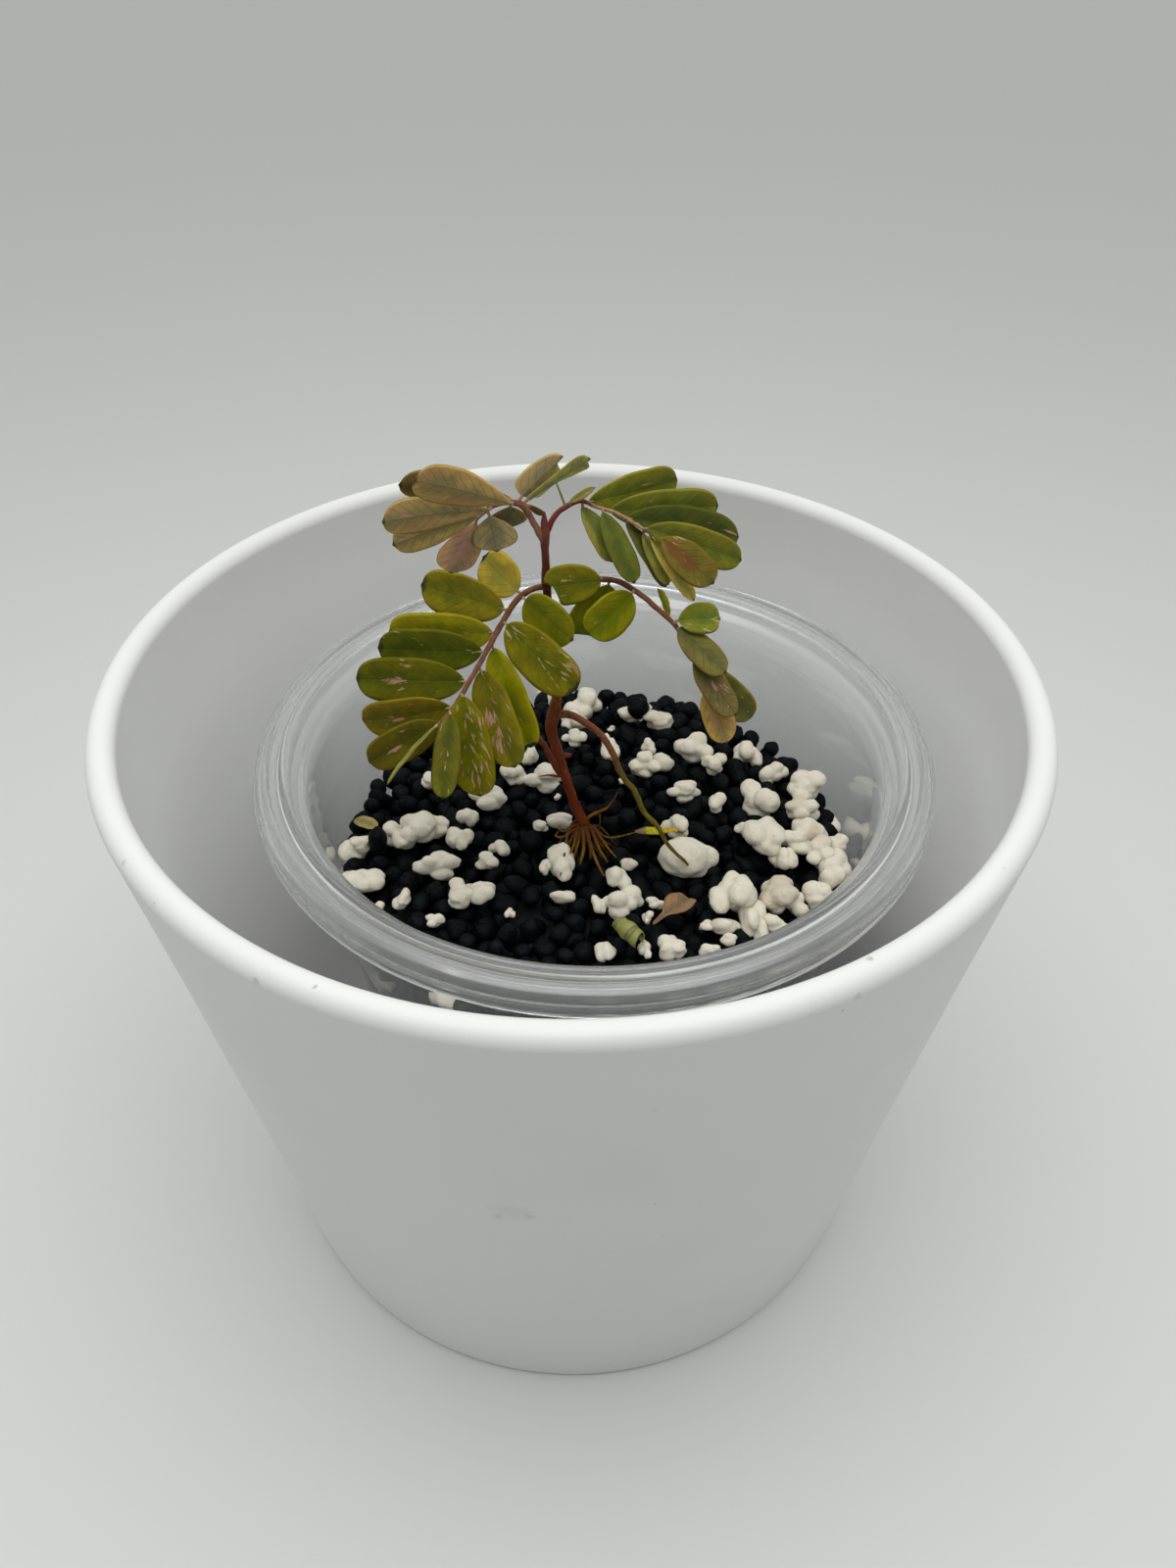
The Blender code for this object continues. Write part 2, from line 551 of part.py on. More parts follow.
def make_scraps(collection):
    """Dead and dropped leaf scraps lying on the bed."""
    for name, x, y, heading, length, width, widest, fold, bend, rise, colour in SCRAPS:
        dry = add_material(name + "_dry", colour, 0.6)
        heading = math.radians(heading)
        along = Vector((math.cos(heading), math.sin(heading), SCRAP_TILT)).normalized()
        start = Vector((x, y, bed_top(x, y) + SCRAP_CLEAR_OF_GRAINS + rise))
        left = Vector((0, 0, 1)).cross(along)
        add_blade(name, frame_matrix(start, along, left), length, width, widest, fold, bend, dry, collection)


clear_scene()
parts = bpy.data.collections.new("potted_pink_chamber_bitter")
guides = bpy.data.collections.new("guides")
bpy.context.scene.collection.children.link(parts)
bpy.context.scene.collection.children.link(guides)
make_pot(parts)
make_cup(parts)
make_bed(parts, guides)
make_stems(parts, guides)
for branchlet_name, branchlet_data in BRANCHLETS.items():
    make_branchlet(branchlet_name, branchlet_data, parts)
make_scraps(parts)
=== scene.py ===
import math

import bmesh
import bpy
import numpy as np
from mathutils import Matrix, Vector, noise


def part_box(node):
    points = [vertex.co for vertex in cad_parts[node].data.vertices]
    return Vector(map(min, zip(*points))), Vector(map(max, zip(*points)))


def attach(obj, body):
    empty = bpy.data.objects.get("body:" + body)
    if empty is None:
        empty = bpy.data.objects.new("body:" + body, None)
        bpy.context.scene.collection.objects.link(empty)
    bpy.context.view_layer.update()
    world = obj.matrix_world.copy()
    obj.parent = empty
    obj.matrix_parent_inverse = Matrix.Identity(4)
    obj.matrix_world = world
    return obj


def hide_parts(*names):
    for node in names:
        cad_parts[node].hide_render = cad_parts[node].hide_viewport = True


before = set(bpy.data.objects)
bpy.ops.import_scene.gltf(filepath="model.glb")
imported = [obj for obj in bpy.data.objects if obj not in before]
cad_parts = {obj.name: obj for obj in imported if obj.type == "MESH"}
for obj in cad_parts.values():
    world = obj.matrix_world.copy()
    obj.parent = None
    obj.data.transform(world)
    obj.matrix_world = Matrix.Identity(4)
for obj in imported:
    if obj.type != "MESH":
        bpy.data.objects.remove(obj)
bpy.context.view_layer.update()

# Studio: the pot stands on a plain pale floor under one broad soft panel, in a white room.
# The room is darkest behind the camera, where whoever holds it keeps some of the light away.
# Shapes are in millimetres, which MM turns into Blender's metres; finishes and lights are in metres.
MM = 0.001
CAMERA_PLACE = (0.0, -156.99, 227.05)
CAMERA_YAW = 0.015615
CAMERA_PITCH = 0.701321
CAMERA_ROLL = 0.006862
CAMERA_LENS = 36.06
ROOM_BACK = (0.76, 0.77, 0.75)
ROOM_FRONT = (0.19, 0.192, 0.19)
FLOOR_COLOUR = (0.67, 0.68, 0.665)
FLOOR_REACH = 3000
studio = bpy.context.scene


def add(beside, kind, inputs=(), **settings):
    """A shader node beside another node or socket, with its own sockets set or fed from others."""
    tree = beside.id_data
    node = tree.nodes.new("ShaderNode" + kind)
    for name, value in settings.items():
        setattr(node, name, value)
    for socket, value in dict(inputs).items():
        if isinstance(value, bpy.types.NodeSocket):
            tree.links.new(value, node.inputs[socket])
        else:
            node.inputs[socket].default_value = value
    return node


def fade(value, start, end):
    """0 up to start, 1 from end on, and smooth between them; start may be the larger."""
    return add(value, "MapRange", {0: value, 1: start, 2: end}, interpolation_type="SMOOTHSTEP").outputs[0]


def mixed(share, one, other):
    """One colour changed into another by a share; a plain colour is its red, green and blue."""
    inputs = {0: share}
    for socket, colour in ((6, one), (7, other)):
        inputs[socket] = colour if isinstance(colour, bpy.types.NodeSocket) else (*colour, 1.0)
    return add(share, "Mix", inputs, data_type="RGBA").outputs[2]


def cloud(place, scale, detail=2.0):
    """Soft noise about a place, from 0 to 1."""
    return add(place, "TexNoise", {"Vector": place, "Scale": scale, "Detail": detail}).outputs[0]


def parted(vector):
    """The three parts of a vector socket."""
    return add(vector, "SeparateXYZ", {0: vector}).outputs


def spot_on(shader):
    """Each point's place on its piece, in metres."""
    return add(shader, "TexCoord").outputs["Object"]


def feed(shader, socket, value):
    """Feeds one of a shader's sockets from another node."""
    shader.id_data.links.new(value, shader.inputs[socket])


def relief(shader, height, depth):
    """Raises the surface by a height pattern, depth in metres."""
    bump = add(shader, "Bump", {"Strength": 1.0, "Distance": depth, "Height": height})
    feed(shader, "Normal", bump.outputs[0])


def new_finish(name, roughness, values=()):
    """A material and its Principled shader, with that shader's own values set by the socket's name."""
    material = bpy.data.materials.new(name)
    material.use_nodes = True
    shader = material.node_tree.nodes["Principled BSDF"]
    for socket, value in {"Roughness": roughness, **dict(values)}.items():
        shader.inputs[socket].default_value = value
    return material, shader


def new_piece(name, points, faces, material):
    """A smooth-shaded mesh object from points in millimetres."""
    mesh = bpy.data.meshes.new(name)
    mesh.from_pydata((np.asarray(points, float) * MM).tolist(), [], faces)
    mesh.materials.append(material)
    mesh.shade_smooth()
    mesh.update()
    piece = bpy.data.objects.new(name, mesh)
    studio.collection.objects.link(piece)
    return piece


camera_data = bpy.data.cameras.new("camera")
camera_data.sensor_fit = "HORIZONTAL"
camera_data.sensor_width = 36.0
camera_data.lens = CAMERA_LENS
camera_data.clip_start = 0.01
camera_data.clip_end = 20.0
camera = bpy.data.objects.new("camera", camera_data)
studio.collection.objects.link(camera)
camera.matrix_world = (
    Matrix.Translation(Vector(CAMERA_PLACE) * MM)
    @ Matrix.Rotation(-CAMERA_YAW, 4, "Z")
    @ Matrix.Rotation(math.pi / 2 - CAMERA_PITCH, 4, "X")
    @ Matrix.Rotation(CAMERA_ROLL, 4, "Z")
)
studio.camera = camera
studio.view_settings.view_transform = "Standard"

room = bpy.data.worlds.new("room")
room.use_nodes = True
studio.world = room
backdrop = room.node_tree.nodes["Background"]
towards_back = fade(parted(add(backdrop, "TexCoord").outputs["Generated"])[1], -0.75, 0.1)
feed(backdrop, "Color", mixed(towards_back, ROOM_FRONT, ROOM_BACK))

panel_data = bpy.data.lights.new("panel", "AREA")
panel_data.shape = "RECTANGLE"
panel_data.size = 0.5
panel_data.size_y = 0.45
panel_data.energy = 1.75
panel = bpy.data.objects.new("panel", panel_data)
panel.location = (0.0, -0.12, 0.56)
panel.visible_camera = False
studio.collection.objects.link(panel)

floor_finish, shader = new_finish("floor_sheet", 0.7)
place = spot_on(shader)
feed(shader, "Base Color", mixed(cloud(place, 9.0), FLOOR_COLOUR, [0.985 * part for part in FLOOR_COLOUR]))
relief(shader, cloud(place, 900.0), 0.00002)
corners = [(x * FLOOR_REACH, y * FLOOR_REACH, 0) for x, y in ((-1, -1), (1, -1), (1, 1), (-1, 1))]
floor = new_piece("floor", corners, [(0, 1, 2, 3)], floor_finish)

# Outer pot: a white plastic flower pot, moulded with a tapered wall and a full round lip.
# Its face is matt with a fine even grain; it carries small scuffs on the lip and one grey smudge in front.
POT_TALL = 120.0
POT_RIM = 75.0
POT_FOOT = 60.1
POT_WALL = 3.6
POT_FLOOR = 4.0
POT_LIP = 2.2
POT_FOOT_ROUND = 2.0
POT_CORNER = 3.0
POT_TURN = 192
POT_SLOPE = (POT_RIM - POT_FOOT) / POT_TALL
POT_WHITE = (0.755, 0.76, 0.745)
GREY_MARK = (0.30, 0.30, 0.26)
# Place of each mark, its radius and how strongly it shows
POT_MARKS = [
    (-30.3, -66.7, 119.8, 0.45, 1), (-37.8, -64.5, 118.4, 0.9, 0.45), (35.5, -62.8, 120, 0.8, 0.6),
    (33.5, -67, 118, 0.8, 0.35), (30.4, -67.8, 119.1, 0.35, 0.6), (31.9, -67.6, 116.1, 0.4, 0.6),
    (-58.9, -45.1, 119.2, 0.7, 0.5), (-53, -52.2, 119, 0.5, 0.6), (55.2, -45, 119.8, 0.5, 0.5),
    (56, -47.4, 119.7, 0.45, 0.6), (9.8, -72.1, 103.1, 0.5, 0.35), (11.2, -68.4, 74.8, 0.4, 0.4),
    (12.8, -66.6, 63, 0.5, 0.35), (-11.1, -67.9, 70.9, 1.3, 0.28), (-6.8, -68.6, 72, 1.5, 0.25),
    (-9.3, -68.5, 73.5, 4.2, 0.13),
]


def sums(operation, *values):
    """The result of a Math node; at least one of the values is a socket."""
    beside = next(value for value in values if isinstance(value, bpy.types.NodeSocket))
    return add(beside, "Math", enumerate(values), operation=operation).outputs[0]


def times(one, other):
    """Product of two values."""
    return sums("MULTIPLY", one, other)


def scaled(value, factor, base):
    """A value times a factor, on top of a base."""
    return sums("MULTIPLY_ADD", value, factor, base)


def arc(radius, height, bend, start, end, steps):
    """Points of a round corner in a turned profile, centred at (radius, height)."""
    turns = np.radians(np.linspace(start, end, steps + 1))
    return [(radius + bend * math.cos(turn), height + bend * math.sin(turn)) for turn in turns]


def turned(name, profile, centre, turn, material):
    """Turns a profile of (radius, height) points about the upright axis through centre."""
    points, rings = [], []
    for radius, height in profile:
        if radius == 0:
            rings.append([len(points)] * turn)
            points.append((*centre, height))
            continue
        rings.append(list(range(len(points), len(points) + turn)))
        for step in range(turn):
            angle = 2 * math.pi * step / turn
            x, y = radius * math.cos(angle), radius * math.sin(angle)
            points.append((centre[0] + x, centre[1] + y, height))
    faces = []
    for inner, outer in zip(rings, rings[1:]):
        for step in range(turn):
            after = (step + 1) % turn
            corner = [inner[step], outer[step], outer[after], inner[after]]
            faces.append([point for at, point in enumerate(corner) if point != corner[at - 1]])
    piece = new_piece(name, points, faces, material)
    shape = bmesh.new()
    shape.from_mesh(piece.data)
    bmesh.ops.recalc_face_normals(shape, faces=shape.faces)
    shape.to_mesh(piece.data)
    shape.free()
    return piece


pot_finish, shader = new_finish("white_matt_plastic", 0.5)
place = spot_on(shader)
marked = times(fade(cloud(place, 35.0), 0.35, 0.75), 0.035)
for *middle, size, strength in POT_MARKS:
    middle, size = [part * MM for part in middle], size * MM
    away = add(place, "VectorMath", {0: place, 1: middle}, operation="DISTANCE").outputs["Value"]
    ragged = scaled(cloud(place, 1.3 / size), 1.1 * size, away)
    marked = sums("MAXIMUM", marked, times(fade(ragged, 1.5 * size, 0.7 * size), strength))
feed(shader, "Base Color", mixed(marked, POT_WHITE, GREY_MARK))
feed(shader, "Roughness", scaled(cloud(place, 60.0), 0.12, 0.44))
relief(shader, cloud(place, 2200.0), 0.000012)

neck = POT_TALL - 3.2 * POT_LIP
pot_profile = [(0, POT_FLOOR)]
pot_profile += arc(POT_FOOT - POT_WALL + 0.4 - POT_CORNER, POT_FLOOR + POT_CORNER, POT_CORNER, -90, -6, 8)
pot_profile += [(POT_FOOT + POT_SLOPE * z - POT_WALL, z) for z in (20, 50, 80, 100, neck)]
pot_profile += arc(POT_RIM - POT_LIP, POT_TALL - POT_LIP, POT_LIP, 180, 0, 24)
pot_profile += [(POT_FOOT + POT_SLOPE * z, z) for z in (90, 60, 30, 8)]
pot_profile += arc(POT_FOOT - POT_FOOT_ROUND + 0.2, POT_FOOT_ROUND, POT_FOOT_ROUND, 0, -90, 8) + [(0, 0)]
pot = turned("white_flower_pot", pot_profile, (0, 0), POT_TURN, pot_finish)
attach(pot, "root")
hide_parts("outer_pot")

# Inner cup: a thin clear cup of the kind sold for food, standing loose and a little off centre in the pot.
# It is thermoformed, with a ledge below the mouth, a double-beaded rim and a short skirt with one more bead.
CUP_CENTRE = (3.6, 4.2)
CUP_LEDGE = 99.0
CUP_BODY = 49.8
CUP_TAPER = 0.12
CUP_WALL = 0.8
CUP_FLOOR = 4.3
CUP_TURN = 448


def toned(colour, factors):
    """A colour socket with its three parts multiplied."""
    return add(colour, "VectorMath", {0: colour, 1: factors}, operation="MULTIPLY").outputs[0]


def combined(*parts):
    """A vector socket from its three parts."""
    return add(parts[0], "CombineXYZ", enumerate(parts)).outputs[0]


def stretched(place, factors):
    """A place with its three parts scaled, to draw a pattern out."""
    return add(place, "Mapping", {"Vector": place, "Scale": factors}).outputs[0]


def cup_inside(height):
    """Inside radius of the cup's tapered wall."""
    return CUP_BODY - CUP_TAPER * (CUP_LEDGE - height)


cup_finish, shader = new_finish("clear_cup_plastic", 0.1, {
    "Base Color": (0.950, 0.963, 0.968, 1.0), "Transmission Weight": 0.965, "IOR": 1.57,
})
place = spot_on(shader)
centre = [part * MM for part in CUP_CENTRE] + [0]
from_middle = add(place, "VectorMath", {0: place, 1: centre}, operation="SUBTRACT").outputs[0]
level_only = toned(from_middle, (1, 1, 0))
outward = add(place, "VectorMath", {0: level_only}, operation="LENGTH").outputs["Value"]
x, y, height = parted(place)
rings = cloud(combined(outward, times(x, 0.02), times(y, 0.02)), 1100.0, 1.0)
drawn = cloud(stretched(place, (0.25, 0.25, 1.0)), 200.0, 1.0)
# The rim is hazy, but for the clear skirt below its last bead
on_rim = fade(height, 0.0966, 0.0978)
on_skirt = times(fade(outward, 0.0571, 0.0574), fade(height, 0.1005, 0.1002))
milky = times(on_rim, sums("SUBTRACT", 1.0, on_skirt))
feed(shader, "Roughness", sums("ADD", times(milky, scaled(rings, 0.05, 0.135)), 0.045))
uneven = add(place, "Mix", {0: on_rim, 2: drawn, 3: times(rings, 0.012)}, data_type="FLOAT").outputs[0]
relief(shader, uneven, 0.00009)

cup_profile = [(0, CUP_FLOOR + CUP_WALL)]
cup_profile += arc(cup_inside(CUP_FLOOR) - 3.0, CUP_FLOOR + CUP_WALL + 2.6, 2.6, -90, -7, 6)
cup_profile += [(cup_inside(z), z) for z in (20, 40, 60, 70, 80, 88, 94, 97.6)]
cup_profile += [(49.85, 98.35), (50.2, 98.75), (50.9, 98.95), (51.6, 99.1), (51.95, 99.5), (52.08, 100.4)]
cup_profile += [(52.2, 101.6)] + arc(53.0, 101.5, 0.8, 165, 15, 6)
cup_profile += [(54.0, 101.68), (55.0, 101.62)] + arc(55.75, 101.55, 0.6, 160, 20, 5)
cup_profile += [(56.6, 101.7), (57.2, 101.62), (57.6, 101.3), (57.72, 100.6), (57.74, 100.2)]
cup_profile += arc(57.65, 99.6, 0.45, 75, -75, 8) + [(57.8, 99.1), (57.9, 98.2), (58.0, 97.5), (57.85, 97.3)]
cup_profile += [(57.3, 97.4), (57.2, 98.4), (57.0, 100.2), (56.6, 100.85), (55.0, 100.85), (53.3, 100.8)]
cup_profile += [(52.9, 100.2), (52.8, 99.2), (52.4, 98.5), (51.4, 98.15), (50.75, 97.7)]
cup_profile += [(cup_inside(z) + CUP_WALL, z) for z in (94, 80, 60, 40, 20, 8)]
cup_profile += arc(cup_inside(CUP_FLOOR) - 2.4, CUP_FLOOR + 3.0, 3.0, -7, -90, 6) + [(0, CUP_FLOOR)]
cup = turned("clear_inner_cup", cup_profile, CUP_CENTRE, CUP_TURN, cup_finish)
cup.visible_shadow = False
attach(cup, "root")
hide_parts("inner_cup")

# Substrate: baked black pellets, 3 to 6 mm across, rounded and dull, heaped loose in the cup up to 20 mm
# below its rim. They are loose grains round a core that nobody sees; rings of them line the cup's wall.
BED_EDGE = 79.8
BED_MOUND = 3.2
BED_LUMP = 0.7
BED_GRAIN = 4.6
PELLET_SHAPES = 12
PELLET_GAP = 3.3
PELLET_AROUND = 4.7
PELLET_LEVEL = 4.0
# Pellets that stand clear of the others: x, y, middle height, half width, half height
UPRIGHT_PELLETS = [(-35.2, -1.9, 83.2, 1.7, 2.8), (9.4, -23.8, 85, 1.5, 1.1), (13.2, 37.5, 83.2, 2.3, 2.2)]
PELLET_BLACK = (0.0006, 0.0010, 0.0013)
PELLET_BLUE = (0.0036, 0.0060, 0.0078)


def bed_top(x, y):
    """Height of the grain tips."""
    outward = math.dist((x, y), CUP_CENTRE) / cup_inside(BED_EDGE)
    lump = noise.noise(Vector((x, y, 0)) / BED_GRAIN)
    return BED_EDGE + BED_MOUND * (1 - outward ** 2) + BED_LUMP * lump


def round_cup(angle, reach):
    """x and y at an angle and a reach from the cup's middle."""
    return CUP_CENTRE[0] + reach * math.cos(angle), CUP_CENTRE[1] + reach * math.sin(angle)


def ball(subdivisions):
    """Points and triangles of a unit ball."""
    shape = bmesh.new()
    bmesh.ops.create_icosphere(shape, subdivisions=subdivisions, radius=1.0)
    points = np.array([corner.co for corner in shape.verts])
    faces = [[corner.index for corner in face.verts] for face in shape.faces]
    shape.free()
    return points, faces


def turned_about(draw):
    """A rotation picked at random, evenly over all of them."""
    w, x, y, z = draw.normal(size=4)
    size = math.sqrt(w * w + x * x + y * y + z * z)
    w, x, y, z = w / size, x / size, y / size, z / size
    return np.array([
        [1 - 2 * (y * y + z * z), 2 * (x * y - w * z), 2 * (x * z + w * y)],
        [2 * (x * y + w * z), 1 - 2 * (x * x + z * z), 2 * (y * z - w * x)],
        [2 * (x * z - w * y), 2 * (y * z + w * x), 1 - 2 * (x * x + y * y)],
    ])


def lumpy(points, amount, scale, seed):
    """Ball points moved in and out by soft noise."""
    start = Vector((seed, 7.1 * seed, 3.3))
    out = [1 + amount * noise.noise(Vector(point) * scale + start) for point in points]
    return points * np.array(out)[:, None]


def joined(name, parts, material):
    """One mesh from many parts, each its points and its faces."""
    points, faces, count = [], [], 0
    for part_points, part_faces in parts:
        points.append(part_points)
        faces += [[corner + count for corner in face] for face in part_faces]
        count += len(part_points)
    return new_piece(name, np.vstack(points), faces, material)


def scattered(draw, count, reach, gap, keep_out):
    """Points in the cup's round, none nearer to another than gap or inside a keep-out circle."""
    kept = []
    for _ in range(count):
        x, y = draw.uniform(-reach, reach, 2)
        if math.hypot(x, y) > reach:
            continue
        x, y = x + CUP_CENTRE[0], y + CUP_CENTRE[1]
        if any((x - a) ** 2 + (y - b) ** 2 < (c + 0.42 * gap) ** 2 for a, b, c in keep_out):
            continue
        if all((x - a) ** 2 + (y - b) ** 2 > gap * gap for a, b in kept):
            kept.append((x, y))
    return kept


# Perlite lumps seen on top: x, y, size across x, size across y, and where they aren't 0 the rise above the
# pellets and the skin (0 plain white, 1 stained warm, 2 speckled with brown)
PERLITE = [
    (-36.7, -9.5, 6.1, 5.4), (-38.6, 0.1, 3.5, 3.1), (-31.6, 1, 5.6, 5.9), (-28.3, 1.4, 5.9, 5.4, 1),
    (-25.6, 3.4, 4.6, 4), (-20.7, -0.7, 4.4, 4.2), (-19.7, 5.6, 3.6, 3.5), (-16.1, 9.8, 6.2, 4.7),
    (-24.2, -7.1, 7.4, 3.5), (-15.4, -6.5, 3.7, 2.8), (-13.4, -3.6, 3.4, 3), (-29.8, -14.3, 2.8, 3.3),
    (-19.1, -14.1, 4.6, 5.1, 0, 1), (-15.8, -14.3, 3.8, 3.8), (-23.5, -19.8, 2.9, 2.1),
    (-33.9, -16, 2.4, 1.8), (-6.1, 2.4, 2.5, 2.7), (-2.7, 3.4, 4.1, 2.5), (-6, 15.9, 6.8, 4.5),
    (-11.5, 18.1, 4.8, 4.2), (-8.7, 22.9, 3.1, 3.8), (-26.6, 16.4, 4.5, 3.8), (1.9, 39.9, 6.9, 7, 1),
    (0.1, 29.7, 4.5, 3.6), (7.2, 25.1, 3.3, 6), (13.9, 20.6, 5.6, 4.4), (17.1, 20.9, 4.1, 3.7),
    (14.6, 24.1, 2.5, 3, 1.5), (12.6, 38.4, 6.2, 3.9), (17.3, 36, 5.6, 4.3, 0, 1),
    (23.6, 25.6, 6.6, 6.4, 1), (27.3, 20.9, 4.3, 4.3, 0, 1), (34.6, 25.9, 4.5, 5), (20.7, 11.7, 5.6, 3.1),
    (26.9, 9.3, 3, 3.6), (18.4, 3.1, 4.4, 4, -0.5, 1), (20.3, -6.2, 9.4, 6.8, 0.8),
    (27.1, -15.1, 7.1, 8, 1), (25.6, -21.2, 4.7, 3), (30.3, -19.8, 4.1, 7.3), (35.1, -14.3, 5.3, 6.1, 1, 2),
    (34.3, -20.7, 4.5, 3.2), (38, -15.7, 3.7, 3.8, 0, 1), (42.5, -14.1, 5.1, 4.7, 1, 1),
    (34.3, -1.4, 6.3, 6.6, 1.5), (30.7, 1.7, 2.5, 2.6), (37.3, -5.6, 4.1, 4.4, 0.5, 1),
    (38.9, 19.2, 4.7, 3.4, 0, 1), (35.3, 11.1, 5.6, 6.9), (44.3, 13, 5.8, 5.5, 2, 1),
    (42.6, 7.3, 5.4, 4.1, 1, 1), (43.3, 1.6, 5.3, 4.6, 1, 1), (39.9, -1.8, 4.7, 4, 0.5, 1),
    (43.9, -4, 4.7, 4.7, 1, 1), (46.2, -7.5, 5.1, 6.3, 1, 1), (47.5, -1.5, 3.4, 3.5, 1, 1),
    (-2.3, -8.5, 4.2, 7.1), (-5, -8.3, 2, 2.7), (-2, -14.6, 3.8, 2.3, -0.5), (7.7, -11.5, 3.9, 3.9, 0.5),
    (9.7, -7.4, 2.7, 2.4), (8.2, -17, 6.3, 5.1, 0.5), (4.2, -17.1, 2.3, 3), (12.4, -20.1, 1.7, 2.3),
    (13.9, -16.6, 3, 1.7, -0.5), (22.1, -21.6, 2, 1.9), (16.1, -26, 4.1, 4.6), (5.1, -26.9, 3.1, 3.6, -0.3),
    (11.5, -26.3, 1.9, 2.6, -0.3), (22.4, -26.7, 3.3, 1.6), (25.7, -24.2, 2.5, 1.9), (0.1, 35.2, 4.6, 3.9),
    (11.9, -27.6, 1.2, 2.4), (19.2, 1.8, 2.6, 3.4, 1, 1),
]
PERLITE = [(*row, 0, 0)[:6] for row in PERLITE]
pellet_finish, shader = new_finish("baked_black_pellets", 0.62, {"Specular IOR Level": 0.09})
place = spot_on(shader)
tone = fade(cloud(place, 380.0, 3.0), 0.35, 0.75)
feed(shader, "Base Color", mixed(tone, PELLET_BLACK, PELLET_BLUE))
relief(shader, sums("ADD", cloud(place, 1500.0, 4.0), cloud(place, 500.0, 1.0)), 0.00022)

draw = np.random.default_rng(27)
fine_ball, coarse_ball = ball(3), ball(2)
fine_shapes, coarse_shapes = [
    [(lumpy(points, 0.16, 1.1, seed), faces) for seed in range(PELLET_SHAPES)]
    for points, faces in (fine_ball, coarse_ball)
]


def pellet(shapes, x, y, tip):
    """One pellet whose highest point is at the tip height."""
    points, faces = shapes[int(draw.integers(len(shapes)))]
    half = draw.uniform(1.4, 2.15)
    size = np.array([half * draw.uniform(1.0, 1.45), half, half * draw.uniform(0.82, 1.0)])
    placed = (points * size) @ turned_about(draw).T
    return placed + (x, y, tip - placed[:, 2].max()), faces


keep_out = [(x, y, 0.4 * min(across, deep)) for x, y, across, deep, _, _ in PERLITE]
top_grains = []
for x, y in scattered(draw, 9000, cup_inside(BED_EDGE) - 2.6, PELLET_GAP, keep_out):
    top_grains.append(pellet(fine_shapes, x, y, bed_top(x, y) - abs(draw.normal(0, 0.75))))
for x, y, z, half_wide, half_tall in UPRIGHT_PELLETS:
    points, faces = fine_shapes[len(top_grains) % len(fine_shapes)]
    top_grains.append((points * (half_wide, half_wide, half_tall) + (x, y, z), faces))
pellets = joined("bed_top_pellets", top_grains, pellet_finish)
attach(pellets, "root")
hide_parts("substrate")

lower_grains = []
for drop, gap in ((2.2, 3.4), (4.4, 4.0)):
    for x, y in scattered(draw, 6000, cup_inside(BED_EDGE) - 2.8, gap, []):
        lower_grains.append(pellet(coarse_shapes, x, y, bed_top(x, y) - drop - draw.uniform(0, 1.0)))
# Rings of pellets down the cup's wall
level = BED_EDGE - 2.6
while level > CUP_FLOOR + 5:
    around = int(2 * math.pi * cup_inside(level) / PELLET_AROUND)
    start = draw.uniform(0, 1)
    for step in range(around):
        angle = 2 * math.pi * (step + start + draw.uniform(-0.16, 0.16)) / around
        x, y = round_cup(angle, cup_inside(level) - 2.9 - draw.uniform(0, 0.8))
        lower_grains.append(pellet(coarse_shapes, x, y, level + 2.0 + draw.uniform(-0.8, 0.8)))
    level -= PELLET_LEVEL
lower_pellets = joined("bed_lower_pellets", lower_grains, pellet_finish)
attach(lower_pellets, "root")
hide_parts("substrate")

core_finish, shader = new_finish("bed_core", 0.9)
place = spot_on(shader)
feed(shader, "Base Color", mixed(cloud(place, 300.0), PELLET_BLACK, PELLET_BLUE))
relief(shader, cloud(place, 300.0, 3.0), 0.001)
core_profile = [(0, BED_EDGE - 2.5), (20, BED_EDGE - 3.2), (40, BED_EDGE - 5.2), (44, BED_EDGE - 7)]
core_profile += [(cup_inside(12) - 4.5, 12), (cup_inside(8) - 7, CUP_FLOOR + 2), (0, CUP_FLOOR + 2)]
core = turned("bed_core", core_profile, CUP_CENTRE, 48, core_finish)
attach(core, "root")
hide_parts("substrate")

# Perlite: popped white volcanic glass, in light lumps of several rounded lobes, mixed through the pellets.
# The larger ones lie where they can be seen on top; small ones fill in between and line the cup's wall.
PERLITE_WHITE = (0.66, 0.62, 0.51)
PERLITE_STAIN = (0.42, 0.33, 0.22)
perlite_finish, shader = new_finish("perlite", 0.85, {
    "Subsurface Weight": 0.25, "Subsurface Radius": (1.0, 0.9, 0.7), "Subsurface Scale": 0.0008,
})
place = spot_on(shader)
skin = add(shader, "Attribute", attribute_name="perlite_skin").outputs["Fac"]
warm = fade(scaled(skin, 0.10, cloud(place, 190.0, 3.0)), 0.52, 0.80)
speckled = sums("GREATER_THAN", skin, 1.5)
specks = fade(scaled(speckled, 0.16, cloud(place, 1500.0)), 0.66, 0.74)
stain = sums("MAXIMUM", times(warm, 0.50), times(specks, 0.50))
feed(shader, "Base Color", mixed(stain, PERLITE_WHITE, PERLITE_STAIN))
relief(shader, sums("ADD", cloud(place, 900.0, 5.0), times(cloud(place, 330.0), 1.4)), 0.00028)

LOBE_CREASE = 16
LARGE_LUMP = 8
CRUMBS = 40
WALL_BEADS = 150
popped = np.random.default_rng(61)
lump_ball = ball(4)


